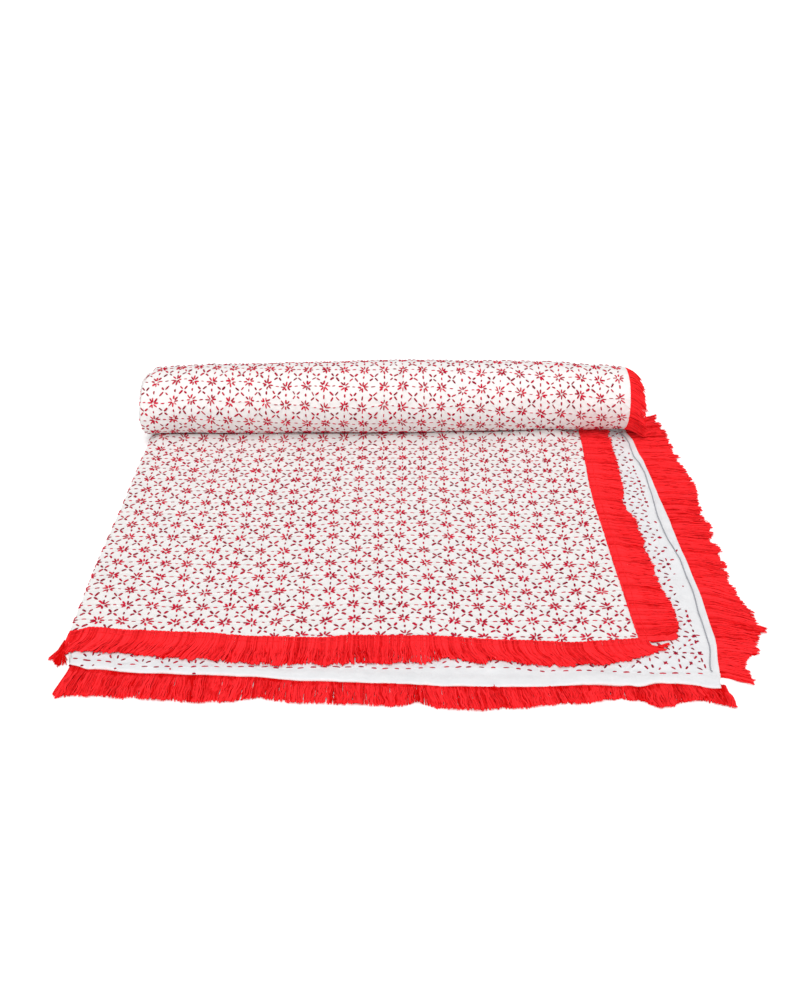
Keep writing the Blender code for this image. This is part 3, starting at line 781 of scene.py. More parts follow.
# How uneven the sewing hand is: place in pitches, angle; length and girth, each with its limits; tone
HAND_PLACE, HAND_ANGLE, HAND_LENGTH, LENGTH_LIMITS = 0.016, 0.13, 0.13, (0.65, 1.35)
HAND_GIRTH, GIRTH_LIMITS, HAND_TONE = 0.14, (0.7, 1.4), (-0.35, 0.40)
# Columns of a table of stitches, after the middle's two lattice numbers
RUN_I, RUN_J, HALF, TONE, GIRTH = 2, 3, 4, 5, 6

thread = Finish("crimson_thread")
thread_place = thread.place()
thread_tone = thread.read("shade") * 0.8 + thread.noise(thread_place, 700.0) * 0.8 - 0.2
thread.set(Base_Color=thread.mix(thread_tone, THREAD_DARK, THREAD_RED), Roughness=0.75,
           Specular_IOR_Level=0.12, Normal=thread.bump(thread.noise(thread_place, 2400.0), 0.0002, 0.5))


def round_fold(x, fold, relief, lift):
    """A raised point's x and its height over the fold's middle: beyond the fold it is carried round it."""
    start = fold + FOLD_RADIUS
    reach = FOLD_RADIUS + relief * np.clip((x - start) / FOLD_FADE, 0, 1) + lift
    over = np.maximum(start - x, 0.0) / FOLD_RADIUS
    return np.where(over > 0, start - reach * np.sin(over), x), reach * np.cos(over)


def upper_point(i, j, lift):
    """A lattice point on the upper layer's top."""
    x, y = upper_place(i, j)
    x, height = round_fold(x, blend(FOLD_SIDE, y), upper_relief(x, y), lift)
    return np.stack([x, y, FOLD_RADIUS + height], -1)


def roll_point(i, j, lift):
    """A lattice point on the roll's outer face."""
    x, turn = roll_place(i, j)
    x, height = round_fold(x, blend(ROLL_ENDS, turn), roll_relief(x, turn), lift)
    return wind(x, turn, FOLD_RADIUS - height)


def margin_point(i, j, lift):
    """A lattice point on the margin of the lower layer's inner face."""
    x, y = margin_place(i, j)
    return np.stack([x, y, THICKNESS + margin_relief(x, y) + lift], -1)


def listed(*columns):
    """Columns side by side as one table. A single value fills its column."""
    return np.stack(np.broadcast_arrays(*columns), -1)


def running_stitches(first_i, last_i, first_j, last_j, of_inner):
    """A table of the stitches of a stretch of lattice: middle, direction, half length in pitches, tone and
    girth. Three a pitch along rows and columns, four to a diagonal; on the outer face beside the
    crossings, and on the inner face on them."""
    stars = np.meshgrid(np.arange(first_i, last_i + 1), np.arange(first_j, last_j + 1), indexing="ij")
    stars = np.stack(stars, -1).reshape(-1, 1, 2).astype(float)
    phase = 0.0 if of_inner else 0.5
    kinds = []
    # Tones by kind: the short middle stitch of each three and the two diagonal stitches beside each crossing
    # get lower tones, painted shade that makes these small stitches darker than the star rays.
    for k in range(3):
        way = (k + phase) / 3
        if k == 1 and not of_inner:
            size, row_tone, column_tone, girth = SHORT_STITCH, 0.45, 0.30, 0.72
        else:
            size, row_tone, column_tone, girth = ROW_STITCH, 0.55, 0.55, 1.0
        kinds.append((way, 0.0, 1.0, 0.0, size, row_tone, girth))
        kinds.append((0.0, way, 0.0, 1.0, size, column_tone, 1.0))
    for k in range(4):
        way = (k + phase) / 4
        tone, girth = (0.22, 1.1) if k in (1, 2) else (0.55, 1.0)
        kinds.append((way, way, SLANT, SLANT, SLANT_STITCH, tone, girth))
        kinds.append((way, -way, SLANT, -SLANT, SLANT_STITCH, tone, girth))
    kinds = np.array(kinds)
    kinds[:, HALF] /= 2 * PITCH
    rest = np.broadcast_to(kinds[:, RUN_I:], (len(stars), len(kinds), 5))
    return np.concatenate([stars + kinds[:, :RUN_I], rest], -1).reshape(-1, 7)


def across_of(lines, up):
    """Unit directions square to the lines and to up."""
    return unit(np.cross(np.gradient(lines, axis=1), up))


def tubes(name, lines, across, over, angles, finish, tones):
    """Closed tubes as one mesh. A line's ends are tips. Round each point between them goes a ring: the point
    plus across times an angle's cosine plus over times its sine. None goes below the floor."""
    count, stations = lines.shape[:2]
    ring = (lines[:, 1:-1, None] + across[:, 1:-1, None] * np.cos(angles)[:, None]
            + over[:, 1:-1, None] * np.sin(angles)[:, None])
    points = np.concatenate([lines[:, :1], ring.reshape(count, -1, 3), lines[:, -1:]], 1)
    points[..., 2] = np.maximum(points[..., 2], 0.0)
    sides = len(angles)
    k = np.arange(sides)
    after = (k + 1) % sides
    starts = 1 + sides * np.arange(stations - 2)[:, None]
    tip = 1 + sides * (stations - 2)
    ends = np.concatenate([listed(0, 1 + k, 1 + after), listed(tip, starts[-1] + after, starts[-1] + k)])
    rows = starts[:-1]
    squares = listed(rows + k, rows + sides + k, rows + sides + after, rows + after).reshape(-1, 4)
    first = (np.arange(count) * (tip + 1))[:, None]
    loops = np.concatenate([ends.ravel() + first, squares.ravel() + first], 1)
    sizes = np.tile(np.repeat((3, 4), (len(ends), len(squares))), count)
    item = make_mesh(name, points.reshape(-1, 3), loops.ravel(), sizes)
    paint_numbers(item, "shade", np.repeat(tones, tip + 1))
    item.data.materials.append(finish.material)
    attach(item, "root")
    return item


def lay_threads(name, lines, up, wide, high, finish, tones):
    """Stitches: plump tubes of five sides, wide across and high along up."""
    across = across_of(lines, up) * (wide[:, None] * STITCH_GIRTH)[..., None]
    over = up * (high[:, None] * STITCH_GIRTH)[..., None]
    return tubes(name, lines, across, over, STITCH_ANGLES, finish, tones)


def hand_sew(name, point, stitches, seed):
    """Hand stitches: each is a little astray, turned, long or short, and its ends sink in. point turns
    lattice numbers and a lift into a place."""
    chance = np.random.default_rng(seed)
    count = len(stitches)
    middle = stitches[:, :RUN_I] + chance.normal(0, HAND_PLACE, (count, 2))
    angle = chance.normal(0, HAND_ANGLE, count)
    run_i, run_j = stitches[:, RUN_I], stitches[:, RUN_J]
    half = stitches[:, HALF] * chance.normal(1.0, HAND_LENGTH, count).clip(*LENGTH_LIMITS)
    girth = stitches[:, GIRTH] * chance.normal(1.0, HAND_GIRTH, count).clip(*GIRTH_LIMITS)
    way_i = (run_i * np.cos(angle) - run_j * np.sin(angle)) * half
    way_j = (run_i * np.sin(angle) + run_j * np.cos(angle)) * half
    i = middle[:, :1] + way_i[:, None] * STITCH_ALONG
    j = middle[:, 1:] + way_j[:, None] * STITCH_ALONG
    lift = THREAD_HEIGHT * STITCH_RISE * girth[:, None] + THREAD_RISE
    lines = point(i, j, lift)
    up = unit(point(i, j, lift + 0.001) - lines)
    tones = stitches[:, TONE] + chance.uniform(*HAND_TONE, count)
    return lay_threads(name, lines, up, THREAD_WIDTH * girth, THREAD_HEIGHT * girth, thread,
                       tones)


# Width of the upper layer's headings; how far its stitches go past the fold, and how far they keep from a
# heading and from the roll's middle
HEADING = 0.0105
PAST_FOLD, OFF_HEADING, OFF_ROLL = 0.002, 0.0015, 0.0135
upper_stitches = running_stitches(-12, 12, -5, 13, of_inner=False)
x, y = upper_place(upper_stitches[:, 0], upper_stitches[:, 1])
shown = (x > blend(FOLD_SIDE, y) - PAST_FOLD) & (x < blend(UPPER_SIDE, y) - HEADING - OFF_HEADING)
shown &= (y > blend(UPPER_FRONT, x) + HEADING + OFF_HEADING) & (y < roll_middle(x) - OFF_ROLL)
upper_sewing = hand_sew("stitches_upper", upper_point, upper_stitches[shown], 61)

# On the roll they keep from the open end, and from the floor and the slit: turns, and length of cloth
OFF_OPEN_END, ROLL_FROM, ROLL_TO, ROLL_LENGTH_FROM = 0.005, 0.03, 0.95, 0.006
roll_stitches = running_stitches(-26, 1, -9, 4, of_inner=False)
x, turn = roll_place(roll_stitches[:, 0], roll_stitches[:, 1])
shown = (x > blend(ROLL_ENDS, turn) - PAST_FOLD) & (x < blend(ROLL_ENDS, turn, 2) - OFF_OPEN_END)
shown &= (turn > ROLL_FROM) & (turn < ROLL_TO) & (length_of(x, turn) > ROLL_LENGTH_FROM)
roll_sewing = hand_sew("stitches_roll", roll_point, roll_stitches[shown], 62)

# On the margin they are shorter, most of all along the rows, and darker, and a share of those along the
# columns is left out. They keep this far from the fold, the roll's middle and the last row, and end at
# the hem's x
SHORTER, ROWS_SHORTER, MARGIN_TONE, MARGIN_GIRTH, LEFT_OUT = 0.84, 0.76, 0.2, 0.92, 0.30
OFF_FOLD, MARGIN_OFF_ROLL, OFF_LAST_ROW, HEM_X = 0.004, 0.012, 0.004, 0.3165
# How far they go on under the upper layer, at the front and at the side
UNDER_FRONT, UNDER_SIDE = 0.006, 0.004
margin_stitches = running_stitches(-18, 8, 0, 20, of_inner=True)
margin_stitches[:, HALF] *= np.where(margin_stitches[:, RUN_J] == 0, ROWS_SHORTER, SHORTER)
margin_stitches[:, TONE] = MARGIN_TONE
margin_stitches[:, GIRTH] = MARGIN_GIRTH
x, y = margin_place(margin_stitches[:, 0], margin_stitches[:, 1])
shown = (x > blend(FOLD_SIDE, y) + OFF_FOLD) & (x < HEM_X) & (y < roll_middle(x) - MARGIN_OFF_ROLL)
shown &= y > margin_row(x) + OFF_LAST_ROW
shown &= (y < blend(UPPER_FRONT, x) + UNDER_FRONT) | (x > blend(UPPER_SIDE, y) - UNDER_SIDE)
upright = margin_stitches[:, RUN_I] == 0
shown &= ~upright | (np.random.default_rng(64).uniform(0, 1, len(x)) > LEFT_OUT)

# The last row along the hem: its ends, the step from stitch to stitch, how far they stray, and their
# length from one x to another
HEM_ROW_START, HEM_ROW_END, HEM_ROW_STEP, HEM_ROW_STRAY = -0.322, 0.309, 0.0121, 0.0006
HEM_ROW_SIZE = (-0.1, 0.2), (0.0066, 0.0058)
row_x = np.arange(HEM_ROW_START, HEM_ROW_END, HEM_ROW_STEP)
row_x = row_x + np.random.default_rng(65).normal(0, HEM_ROW_STRAY, len(row_x))
row_size = np.interp(row_x, *HEM_ROW_SIZE)
hem_row = listed(margin_lattice(row_x, margin_row(row_x))[0], 0.0, 1.0, 0.0, row_size / 2 / PITCH, 0.45, 0.8)

# Single stitches that stray over the margin's plain hem: x, y, direction in degrees, length
STRAY_STITCHES = np.array((
    (0.321, 0.112, 20, 0.0040), (0.319, 0.025, -40, 0.0045), (0.319, -0.032, -30, 0.0045),
    (0.330, -0.037, 20, 0.0040), (0.321, -0.058, 10, 0.0065), (0.318, -0.084, 10, 0.0035),
    (0.323, -0.109, 0, 0.0030), (0.316, -0.165, 0, 0.0040), (0.315, -0.173, 30, 0.0030),
    (0.318, -0.198, -8, 0.0062), (0.317, -0.208, 40, 0.0045), (0.310, -0.213, 30, 0.0045),
    (0.316, -0.229, -5, 0.0045), (0.311, -0.241, 10, 0.0035), (-0.324, -0.2470, 60, 0.0040),
    (-0.312, -0.2465, 20, 0.0040), (-0.301, -0.2465, 30, 0.0030), (-0.278, -0.2510, 50, 0.0035),
    (-0.223, -0.2535, 90, 0.0040), (-0.198, -0.2595, 0, 0.0045),
))
stray_x, stray_y, degrees, stray_size = STRAY_STITCHES.T
strays = listed(*margin_lattice(stray_x, stray_y), np.cos(np.radians(degrees)), np.sin(np.radians(degrees)),
                stray_size / 2 / PITCH, 0.25, 0.85)
margin_sewing = hand_sew("stitches_margin", margin_point,
                         np.concatenate([margin_stitches[shown], hem_row, strays]), 63)


# The hem's machine seam. Grey thread in short, close, even stitches, sewn by machine along the lower
# layer's right hem.

# From one stitch to the next, half a stitch as a share of that, and y of the seam's far end. A stitch's
# rise over the cloth and its bow, half its width and half its height
SEAM_STITCH, SEAM_OVERLAP, SEAM_TOP = 0.0028, 0.54, 0.262
SEAM_RISE, SEAM_BOW = 0.0013, 0.0003
SEAM_WIDTH, SEAM_HEIGHT = 0.00080, 0.00040
GREY_DARK, GREY_LIGHT = linear(136, 138, 145), linear(170, 172, 178)
seam_y = np.arange(SEAM_END, SEAM_TOP, SEAM_STITCH)[:, None] + SEAM_STITCH * SEAM_OVERLAP * STITCH_ALONG
seam_x = blend(HEM_SEAM, seam_y)
seam_z = THICKNESS + margin_relief(seam_x, seam_y) + SEAM_RISE + SEAM_BOW * STITCH_RISE
grey = Finish("grey_machine_thread")
grey.set(Base_Color=grey.mix(grey.noise(grey.place(), 400.0), GREY_DARK, GREY_LIGHT), Roughness=0.7)
every = np.ones(len(seam_y))
seam = lay_threads("hem_seam", np.stack([seam_x, seam_y, seam_z], -1), UP, SEAM_WIDTH * every,
                   SEAM_HEIGHT * every, grey, 0.5 * every)


# The brush fringe. Bright red cotton yarns, closely set side by side and chain stitched to a heading, then
# cut. On the upper layer the heading lies on top of the edge; on the lower layer it is under it.

# A yarn's radius, the distance from one to the next, and the share of it that they are crowded to
YARN, YARN_PITCH, YARN_CROWDING = 0.00062, 0.00120, 0.92
YARN_ANGLES = 2 * math.pi * (np.arange(4) + 0.5) / 4
# The deep red is the yarns' darker random tone and also the painted shade of the fringe's lowest layer.
FRINGE_RED, FRINGE_DEEP = linear(255, 49, 55), linear(200, 0, 0)
# Stations along a yarn: even, with a short first and last one that round off its ends
STEPS = 11
YARN_STATIONS = np.concatenate([(0.0,), np.linspace(0.02, 0.975, STEPS - 2), (1.0,)])
YARN_TAPER = np.interp(YARN_STATIONS, (0, 0.1, 0.8, 1.0), (0.9, 1.0, 1.0, 0.9))

yarn_finish = Finish("red_brush_fringe")
yarn_place = yarn_finish.place()
yarn_tone = yarn_finish.read("shade") + yarn_finish.noise(yarn_place, 300.0, 3.0) * 0.5 - 0.25
yarn_finish.set(Base_Color=yarn_finish.mix(yarn_tone, FRINGE_DEEP, FRINGE_RED), Roughness=0.8,
                Specular_IOR_Level=0.05,
                Normal=yarn_finish.bump(yarn_finish.noise(yarn_place, 1800.0), 0.0003, 0.5))


def spin(name, paths, thick, upright, tones):
    """Yarns: tubes of four sides round their paths. upright is a direction that no yarn runs along."""
    side = across_of(paths, upright)
    over = np.cross(side, unit(np.gradient(paths, axis=1)))
    return tubes(name, paths, side * thick[..., None], over * thick[..., None], YARN_ANGLES, yarn_finish,
                 tones)


# Lie of each run: place along the edge, lean in degrees, length past the edge
UPPER_FRONT_LIE = (
    (-0.337, -25.0, 0.035), (-0.300, -33.0, 0.028), (-0.238, -34.0, 0.030), (-0.200, -30.0, 0.033),
    (-0.165, -16.0, 0.032), (-0.100, -8.0, 0.033), (0.000, 0.0, 0.032), (0.028, 3.0, 0.032),
    (0.050, 12.0, 0.024), (0.078, 20.0, 0.031), (0.099, 26.0, 0.022), (0.127, 32.0, 0.030),
    (0.204, 36.0, 0.029), (0.221, 38.0, 0.025), (0.238, 42.0, 0.022), (0.250, 54.0, 0.020),
    (0.258, 80.0, 0.021), (0.266, 106.0, 0.024),
)
LOWER_FRONT_LIE = (
    (-0.326, -12.0, 0.045), (-0.309, -8.0, 0.041), (-0.280, -4.0, 0.037), (-0.192, -2.0, 0.040),
    (-0.157, -1.0, 0.038), (-0.128, 0.0, 0.031), (-0.044, 3.0, 0.033), (0.006, 5.0, 0.033),
    (0.024, 5.0, 0.028), (0.044, 7.0, 0.033), (0.080, 9.0, 0.034), (0.176, 6.0, 0.027),
    (0.225, 0.0, 0.020), (0.269, 4.0, 0.033), (0.290, 6.0, 0.025), (0.329, 14.0, 0.028),
)
UPPER_SIDE_LIE = (
    (0.250, 3.0, 0.030), (0.127, 8.0, 0.032), (0.065, 8.0, 0.028), (0.025, 10.0, 0.034),
    (-0.101, 9.0, 0.034), (-0.140, 2.0, 0.038), (-0.165, -5.0, 0.039), (-0.190, -11.0, 0.037),
    (-0.211, -14.0, 0.032),
)
LOWER_SIDE_LIE = (
    (0.292, -24.0, 0.056), (0.268, -8.0, 0.052), (0.200, 4.0, 0.050), (0.105, 7.0, 0.050),
    (0.045, 9.0, 0.044), (-0.036, 13.0, 0.044), (-0.080, 18.0, 0.044), (-0.104, 21.0, 0.043),
    (-0.120, 24.0, 0.047), (-0.150, 26.0, 0.053), (-0.170, 26.0, 0.057), (-0.180, 26.0, 0.050),
    (-0.207, 25.0, 0.042), (-0.236, 22.0, 0.030), (-0.250, 24.0, 0.028), (-0.262, 24.0, 0.032),
)
# Width of a tuft, share of a yarn's free length over which it bends, and how far out it has come down
TUFT, BEND, DOWN = 0.0043, 0.35, 0.011
# Layers of yarn, from below: height, thickness, share of its pitch that it is moved by, share of the yarn's
# length, share of the gathering into tufts, lowest and highest tone. The tones hold painted shade: darkest
# on the lowest layer, a thick mat that shows as dark recesses where the tufts above it part.
LAYERS = (
    (0.00075, 2.00, 0.00, 0.94, 0.00, 0.00, 0.30),
    (0.00170, 1.05, 0.50, 1.00, 1.00, 0.20, 0.90),
    (0.00250, 1.00, 0.25, 1.00, 1.00, 0.35, 1.10),
)
# Unevenness of the yarns, from tuft to tuft or from place to place: amount, size, step of the seed
TUFT_EDGES, TUFT_LEAN, SLOW_LEAN = (0.6, 0.011, 1), (6.0, 2.3, 2), (4.0, 0.030, 3)
TUFT_LENGTH, SLOW_LENGTH = (1.0, 1.0, 5), (0.7, 0.014, 6)
WAVER, BOB, SLOW_BOB = (0.0018, 0.0075, 7), (0.0007, 0.0036, 8), (0.0006, 0.011, 9)
TUFT_GATHER, TUFT_TONE = (0.28, 0.9, 10), (0.30, 0.8, 11)
# And from yarn to yarn: place in pitches, lean, length; ripples along it, height, thickness
STRAY_PLACE, STRAY_LEAN, STRAY_LENGTH = 0.12, 2.5, 0.0005
RIPPLE, STRAY_HEIGHT, STRAY_GIRTH = 0.0005, 0.0003, 0.08
# How far a yarn's end is drawn towards the middle of its tuft, as a share of the way
GATHER = 0.36


def wave(row, seed, x, y=0.0):
    """Smooth noise of an amount and a size."""
    amount, size, step = row
    return amount * soft(x, y, size, seed + step)


def brush(name, edge, front, start, end, lie_table, root, surface, heading, ragged, seed):
    """One run of fringe on the flat cloth. Each yarn crosses the heading square to the edge, bends over to
    its lean in the first third of its free length, gathers with its neighbours into tufts and wavers. It
    starts at a root height inside the edge and sinks to the surface under it. edge gives the edge's line;
    front says whether the run faces the front; ragged is how far the tufts differ in length."""
    chance = np.random.default_rng(seed)
    paths, thick, tones = [], [], []
    for height, fat, offset, reach, gathered, dark, light in LAYERS:
        pitch = YARN_PITCH * fat * YARN_CROWDING
        place = np.arange(start, end, pitch) + offset * pitch
        count = len(place)
        place = place + chance.normal(0, STRAY_PLACE * pitch, count)
        tuft = np.floor(place / TUFT + wave(TUFT_EDGES, seed, place))
        lean_more = wave(SLOW_LEAN, seed, place) + gathered * (
            wave(TUFT_LEAN, seed, tuft) + chance.normal(0, STRAY_LEAN, count))
        lean = np.radians(blend(lie_table, place) + lean_more)[:, None]
        longer = ragged * (wave(TUFT_LENGTH, seed, tuft) + wave(SLOW_LENGTH, seed, place))
        length = blend(lie_table, place, 2) * reach + longer + chance.normal(0, STRAY_LENGTH, count)
        length = length[:, None]

        # Its way out from the edge and along it: the sums of its pieces' cosines and sines
        along_yarn = -heading + (length + heading) * YARN_STATIONS
        loose = np.clip(along_yarn / length, 0, 1)
        bent = np.clip((loose[:, 1:] + loose[:, :-1]) / 2 / BEND, 0, 1)
        angle = lean * bent * (2 - bent)
        piece = (length + heading) * np.diff(YARN_STATIONS)
        out = -heading + np.cumsum(np.pad(np.cos(angle) * piece, ((0, 0), (1, 0))), 1)
        drift = np.cumsum(np.pad(np.sin(angle) * piece, ((0, 0), (1, 0))), 1)
        to_tuft = (tuft + 0.5) * TUFT - place
        gather = (GATHER + wave(TUFT_GATHER, seed, tuft)) * gathered
        drift = drift + to_tuft[:, None] * gather[:, None] * loose
        phase = chance.uniform(0, 2 * math.pi, (count, 1))
        field = place[:, None] + drift, out + seed
        waver = wave(WAVER, seed, *field) + RIPPLE * np.sin(loose * 11 + phase)
        drift = drift + waver * np.minimum(loose * 2, 1) * (0.15 + 0.85 * gathered)
        bob = chance.normal(0, STRAY_HEIGHT, (count, 1)) + STRAY_HEIGHT * np.sin(loose * 9 + phase * 1.7)
        bob = bob + wave(BOB, seed, *field) + wave(SLOW_BOB, seed, *field)
        if front:
            x, y = place[:, None] + drift, blend(edge, place)[:, None] - out
        else:
            x, y = blend(edge, place)[:, None] + out, place[:, None] - drift

        # Its height: the root's on the heading, then down to lie on what is under it
        under = surface(x, y)
        down = ease(along_yarn / DOWN)
        radius = YARN * fat * YARN_TAPER * chance.normal(1, STRAY_GIRTH, (count, 1))
        root_height = root[0] + root[1] * height
        z = root_height * (1 - down) + (under + height + bob * (0.3 + 0.7 * gathered)) * down
        paths.append(np.stack([x, y, np.maximum(z, under + radius)], -1))
        thick.append(radius)
        # Tones are random within the layer's range; the lowest layer's dark range is painted shade.
        tones.append(chance.uniform(dark, light, count) + wave(TUFT_TONE, seed, tuft))
    return spin(name, np.concatenate(paths), np.concatenate(thick), UP, np.concatenate(tones))


def on_floor(x, y):
    return 0 * x


def on_lower(x, y):
    """Height of the lower layer's top, and of the floor past its edges."""
    inside = (x < blend(LOWER_SIDE, y)) & (y > blend(LOWER_FRONT, x)) & (x > blend(FOLD_SIDE, y))
    return np.where(inside, THICKNESS + margin_relief(x, y), 0.0)


# Height of a yarn's root: for the lowest layer, and the share of a layer's own height that is added
TOP_ROOT, FRONT_ROOT, SIDE_ROOT = (DOUBLE - 0.0011, 0.65), (0.0006, 0.2), (0.0009, 0.3)
# The runs on the flat cloth: piece, CAD node, edge, whether it faces the front, start, end, lie, root,
# what is under it, width of the heading, raggedness, seed
RUNS = (
    ("fringe_front_upper", "front_fringe_upper", UPPER_FRONT, True, -0.337, 0.2655, UPPER_FRONT_LIE,
     TOP_ROOT, on_lower, HEADING, 0.0022, 71),
    ("fringe_side_upper", "side_fringe_upper", UPPER_SIDE, False, -0.2105, 0.262, UPPER_SIDE_LIE,
     TOP_ROOT, on_lower, HEADING, 0.0017, 72),
    ("fringe_front_lower", "front_fringe_lower", LOWER_FRONT, True, -0.3240, 0.329, LOWER_FRONT_LIE,
     FRONT_ROOT, on_floor, 0.006, 0.0011, 73),
    ("fringe_side_lower", "side_fringe_lower", LOWER_SIDE, False, -0.262, 0.290, LOWER_SIDE_LIE,
     SIDE_ROOT, on_floor, 0.001, 0.0034, 74),
)
for piece, node, *shape in RUNS:
    brush(piece, *shape)
    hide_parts(node)

# Two chain stitches hold the yarns down on the heading: distance from the edge, stitch, half its width,
# rise, share of the width that it is high
CHAINS = ((0.0022, 0.0023, 0.00050, 0.0010, 0.80), (0.0100, 0.0042, 0.00150, 0.0006, 0.45))
# Half a bead in stitches, how far it strays, its bow, and how much its thickness varies
CHAIN_OVERLAP, CHAIN_STRAY, CHAIN_BOW, CHAIN_UNEVEN = 0.60, 0.00018, 0.0005, 0.1


def chain(name, edge, front, start, end, seed):
    """Chain stitches along a heading: plump beads end to end, a little uneven."""
    chance = np.random.default_rng(seed)
    lines, wide, high = [], [], []
    for away, stitch, half, rise, tall in CHAINS:
        place = np.arange(start, end, stitch)[:, None] + stitch * CHAIN_OVERLAP * STITCH_ALONG
        inside = away + chance.normal(0, CHAIN_STRAY, (len(place), 1))
        wide.append(np.full(len(place), half))
        high.append(np.full(len(place), half * tall))
        x, y = (place, blend(edge, place) + inside) if front else (blend(edge, place) - inside, place)
        lines.append(np.stack([x, y, DOUBLE + upper_relief(x, y) + rise + CHAIN_BOW * STITCH_RISE], -1))
    lines = np.concatenate(lines)
    plump = chance.normal(1, CHAIN_UNEVEN, len(lines))
    return lay_threads(name, lines, UP, np.concatenate(wide) * plump, np.concatenate(high) * plump,
                       yarn_finish, chance.uniform(0.4, 0.9, len(lines)))


front_chain = chain("heading_chain_front", UPPER_FRONT, True, -0.335, 0.262, 81)
side_chain = chain("heading_chain_side", UPPER_SIDE, False, -0.214, 0.260, 82)

# Round the roll's open end the yarns leave the edge of every turn, point outwards, droop and drift to the
# front: turns from the floor, outward reach, droop, drift, how much the drift varies
END_LIE = (
    (0.0, 0.036, 0.004, 0.000, 0.003), (0.16, 0.034, 0.007, 0.000, 0.002),
    (0.30, 0.026, 0.016, 0.000, 0.002), (0.50, 0.024, 0.019, 0.000, 0.001),
    (0.70, 0.025, 0.022, 0.000, 0.001), (0.84, 0.027, 0.014, 0.002, 0.002),
    (0.93, 0.027, 0.006, 0.003, 0.003), (1.3, 0.022, 0.016, 0.000, 0.003),
    (2.0, 0.020, 0.014, 0.000, 0.003), (6.0, 0.020, 0.012, 0.000, 0.003),
)
# Where along the roll its cloth is measured, how far in a root sits, and the power by which yarns sink
END_X, END_TUCK, END_SINK = 0.32, 0.001, 1.6
# Unevenness: place in pitches, root, reach and droop; waves to the front and up; the lowest height
END_PLACE, END_ROOT, END_REACH, END_DROOP = 0.15, 0.0006, 0.0009, 0.0012
END_WAVE_Y, END_WAVE_Z, END_LOWEST = (0.0013, 0.0065, 2), (0.0015, 0.0065, 3), 0.0012


def end_brush(name, first_turn, last_turn, pitch, seed):
    """Yarns round the end of the roll: the roots follow the spiral of the lower layer's edge; a yarn goes
    straight out, and sinks by the power 1.6 of the way."""
    chance = np.random.default_rng(seed)
    first, last = length_of(END_X, first_turn), length_of(END_X, last_turn)
    length = first + np.arange(0, last - first, pitch)
    count = len(length)
    length = length + chance.normal(0, END_PLACE * pitch, count)
    turn = turn_of(END_X, length)
    root = wind(blend(ROLL_ENDS, turn, 2), turn, THICKNESS / 2 + chance.normal(0, END_ROOT, count))
    reach = blend(END_LIE, turn) + chance.normal(0, END_REACH, count)
    droop = blend(END_LIE, turn, 2) + chance.normal(0, END_DROOP, count)
    sway = chance.normal(0, 1, count) * blend(END_LIE, turn, 4) - blend(END_LIE, turn, 3)
    out = reach[:, None] * YARN_STATIONS
    loose = np.minimum(YARN_STATIONS * 2, 1)
    wave_y, wave_z = (wave(row, seed, length[:, None], out) * loose for row in (END_WAVE_Y, END_WAVE_Z))
    path = np.stack([root[:, :1] - END_TUCK + out, root[:, 1:2] + sway[:, None] * YARN_STATIONS + wave_y,
                     root[:, 2:] - droop[:, None] * YARN_STATIONS**END_SINK + wave_z], -1)
    path[..., 2] = np.maximum(path[..., 2], END_LOWEST)
    thick = YARN * YARN_TAPER * chance.normal(1, STRAY_GIRTH, (count, 1))
    return spin(name, path, thick, np.array((0.0, 1.0, 0.0)), chance.uniform(0.3, 1.1, count))


end_outer = end_brush("fringe_roll_end", 0.02, SHUT, 0.0006, 75)
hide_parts("roll_end_fringe")
end_inner = end_brush("fringe_roll_inner", SHUT, 5.6, 0.0017, 76)

# Where the upper trim's left end meets the fold, its last yarns hang over it to the floor: number, first
# root, way to the last root, first tip, way to the last tip, bow, and how far tips stray
FOLD_YARNS = 30
FOLD_ROOT, FOLD_ROOT_WAY = np.array((-0.3394, -0.2060, 0.0046)), np.array((0.0030, -0.0190, -0.0026))
FOLD_TIP, FOLD_TIP_WAY = np.array((-0.3435, -0.2365, 0.0012)), np.array((0.0135, 0.0, 0.0))
FOLD_TIP_BOW, FOLD_BOW = np.array((0.0, -0.0070, 0.0)), np.array((-0.0004, 0.0, 0.0006))
FOLD_STRAY = (0.0012, 0.0016, 0.0002)
fold_chance = np.random.default_rng(77)
where = np.linspace(0, 1, FOLD_YARNS)[:, None]
root = FOLD_ROOT + FOLD_ROOT_WAY * where
tip = FOLD_TIP + FOLD_TIP_WAY * where + FOLD_TIP_BOW * np.sin(math.pi * where)
tip = tip + fold_chance.normal(0, FOLD_STRAY, tip.shape)
way = YARN_STATIONS[:, None]
hanging = root[:, None] * (1 - way) + tip[:, None] * way + np.sin(math.pi * way) * FOLD_BOW
hanging[..., 2] = np.maximum(hanging[..., 2], YARN)
fold_end_yarns = spin("fringe_fold_end", hanging, np.full((FOLD_YARNS, STEPS), YARN), UP,
                      fold_chance.uniform(-0.3, 0.25, FOLD_YARNS))


# The stage: a plain pale floor, a soft even sky that is brightest near the horizon, and two large soft
# lights in front.
FLOOR_REACH = 12.0
PALE, SKY = (0.985, 0.985, 0.985, 1.0), (0.985, 0.992, 1.0, 1.0)
# The sky's strength overhead, what the horizon has more, and the height and softness of the change
SKY_STRENGTH, HORIZON, HORIZON_HEIGHT, HORIZON_EDGE = 0.575, 0.43, 0.32, 0.10
# Lights: name, degrees up, spread in degrees, power
LIGHTS = (("high_front", 74.0, 40.0, 1.74), ("low_front", 22.0, 40.0, 0.88))

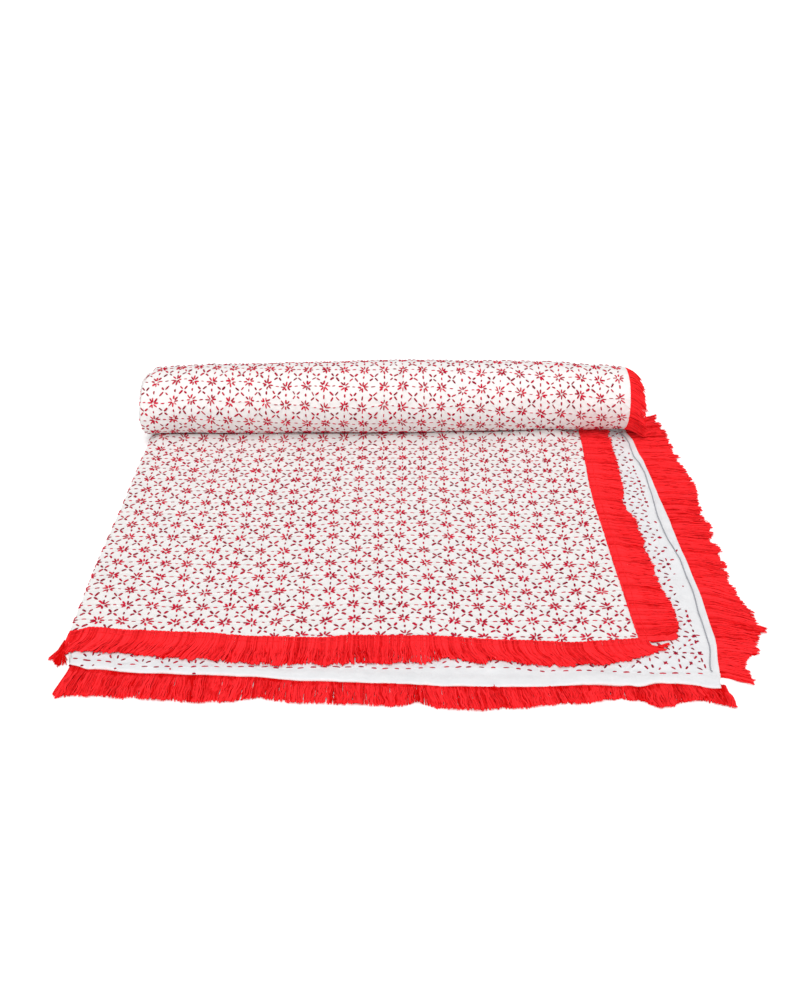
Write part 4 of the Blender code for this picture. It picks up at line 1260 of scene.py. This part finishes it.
floor_corners = [(x * FLOOR_REACH, y * FLOOR_REACH, 0) for x, y in ((-1, -1), (1, -1), (1, 1), (-1, 1))]
floor_mesh = bpy.data.meshes.new("floor")
floor_mesh.from_pydata(floor_corners, [], [(0, 1, 2, 3)])
floor = add_object("floor", floor_mesh)
pale = Finish("pale_floor")
pale.set(Base_Color=PALE, Roughness=1.0, Specular_IOR_Level=0.0)
floor_mesh.materials.append(pale.material)

world = bpy.data.worlds.new("studio")
world.use_nodes = True
sky = Nodes(world.node_tree)
backdrop = sky.tree.nodes["Background"]
upwards = sky.node("ShaderNodeSeparateXYZ", {}, [sky.node("ShaderNodeTexCoord").out("Generated")]).out("Z")
sky.join(backdrop.inputs["Color"], SKY)
sky.join(backdrop.inputs["Strength"], upwards.below(HORIZON_HEIGHT, HORIZON_EDGE) * HORIZON + SKY_STRENGTH)
bpy.context.scene.world = world

for light_name, up, spread, power in LIGHTS:
    light = bpy.data.lights.new(light_name, "SUN")
    light.angle = math.radians(spread)
    light.energy = power
    add_object(light_name, light).rotation_euler = (math.radians(90.0 - up), 0.0, 0.0)

# The camera: where the photograph was taken from, looking down at the quilt
CAMERA_PLACE = (0.0059, -1.1400, 0.7362)
PITCH_DOWN, YAW, ROLL = (math.radians(angle) for angle in (31.072, 0.400, 0.160))
FOCAL_PIXELS, FRAME_HEIGHT, SENSOR = 1134.9, 1000, 36.0
level = math.cos(PITCH_DOWN)
ahead = np.array([math.sin(YAW) * level, math.cos(YAW) * level, -math.sin(PITCH_DOWN)])
right = np.array([math.cos(YAW), -math.sin(YAW), 0.0])
down = np.cross(ahead, right)
camera_x = right * math.cos(ROLL) - down * math.sin(ROLL)
camera_y = -(right * math.sin(ROLL) + down * math.cos(ROLL))
view = bpy.data.cameras.new("camera")
view.sensor_width = SENSOR
view.lens = SENSOR * FOCAL_PIXELS / FRAME_HEIGHT
camera = add_object("camera", view)
stand = np.eye(4)
stand[:3] = np.stack([camera_x, camera_y, -ahead, CAMERA_PLACE], 1)
camera.matrix_world = Matrix(stand.tolist())
bpy.context.scene.camera = camera
bpy.context.scene.view_settings.view_transform = "Standard"
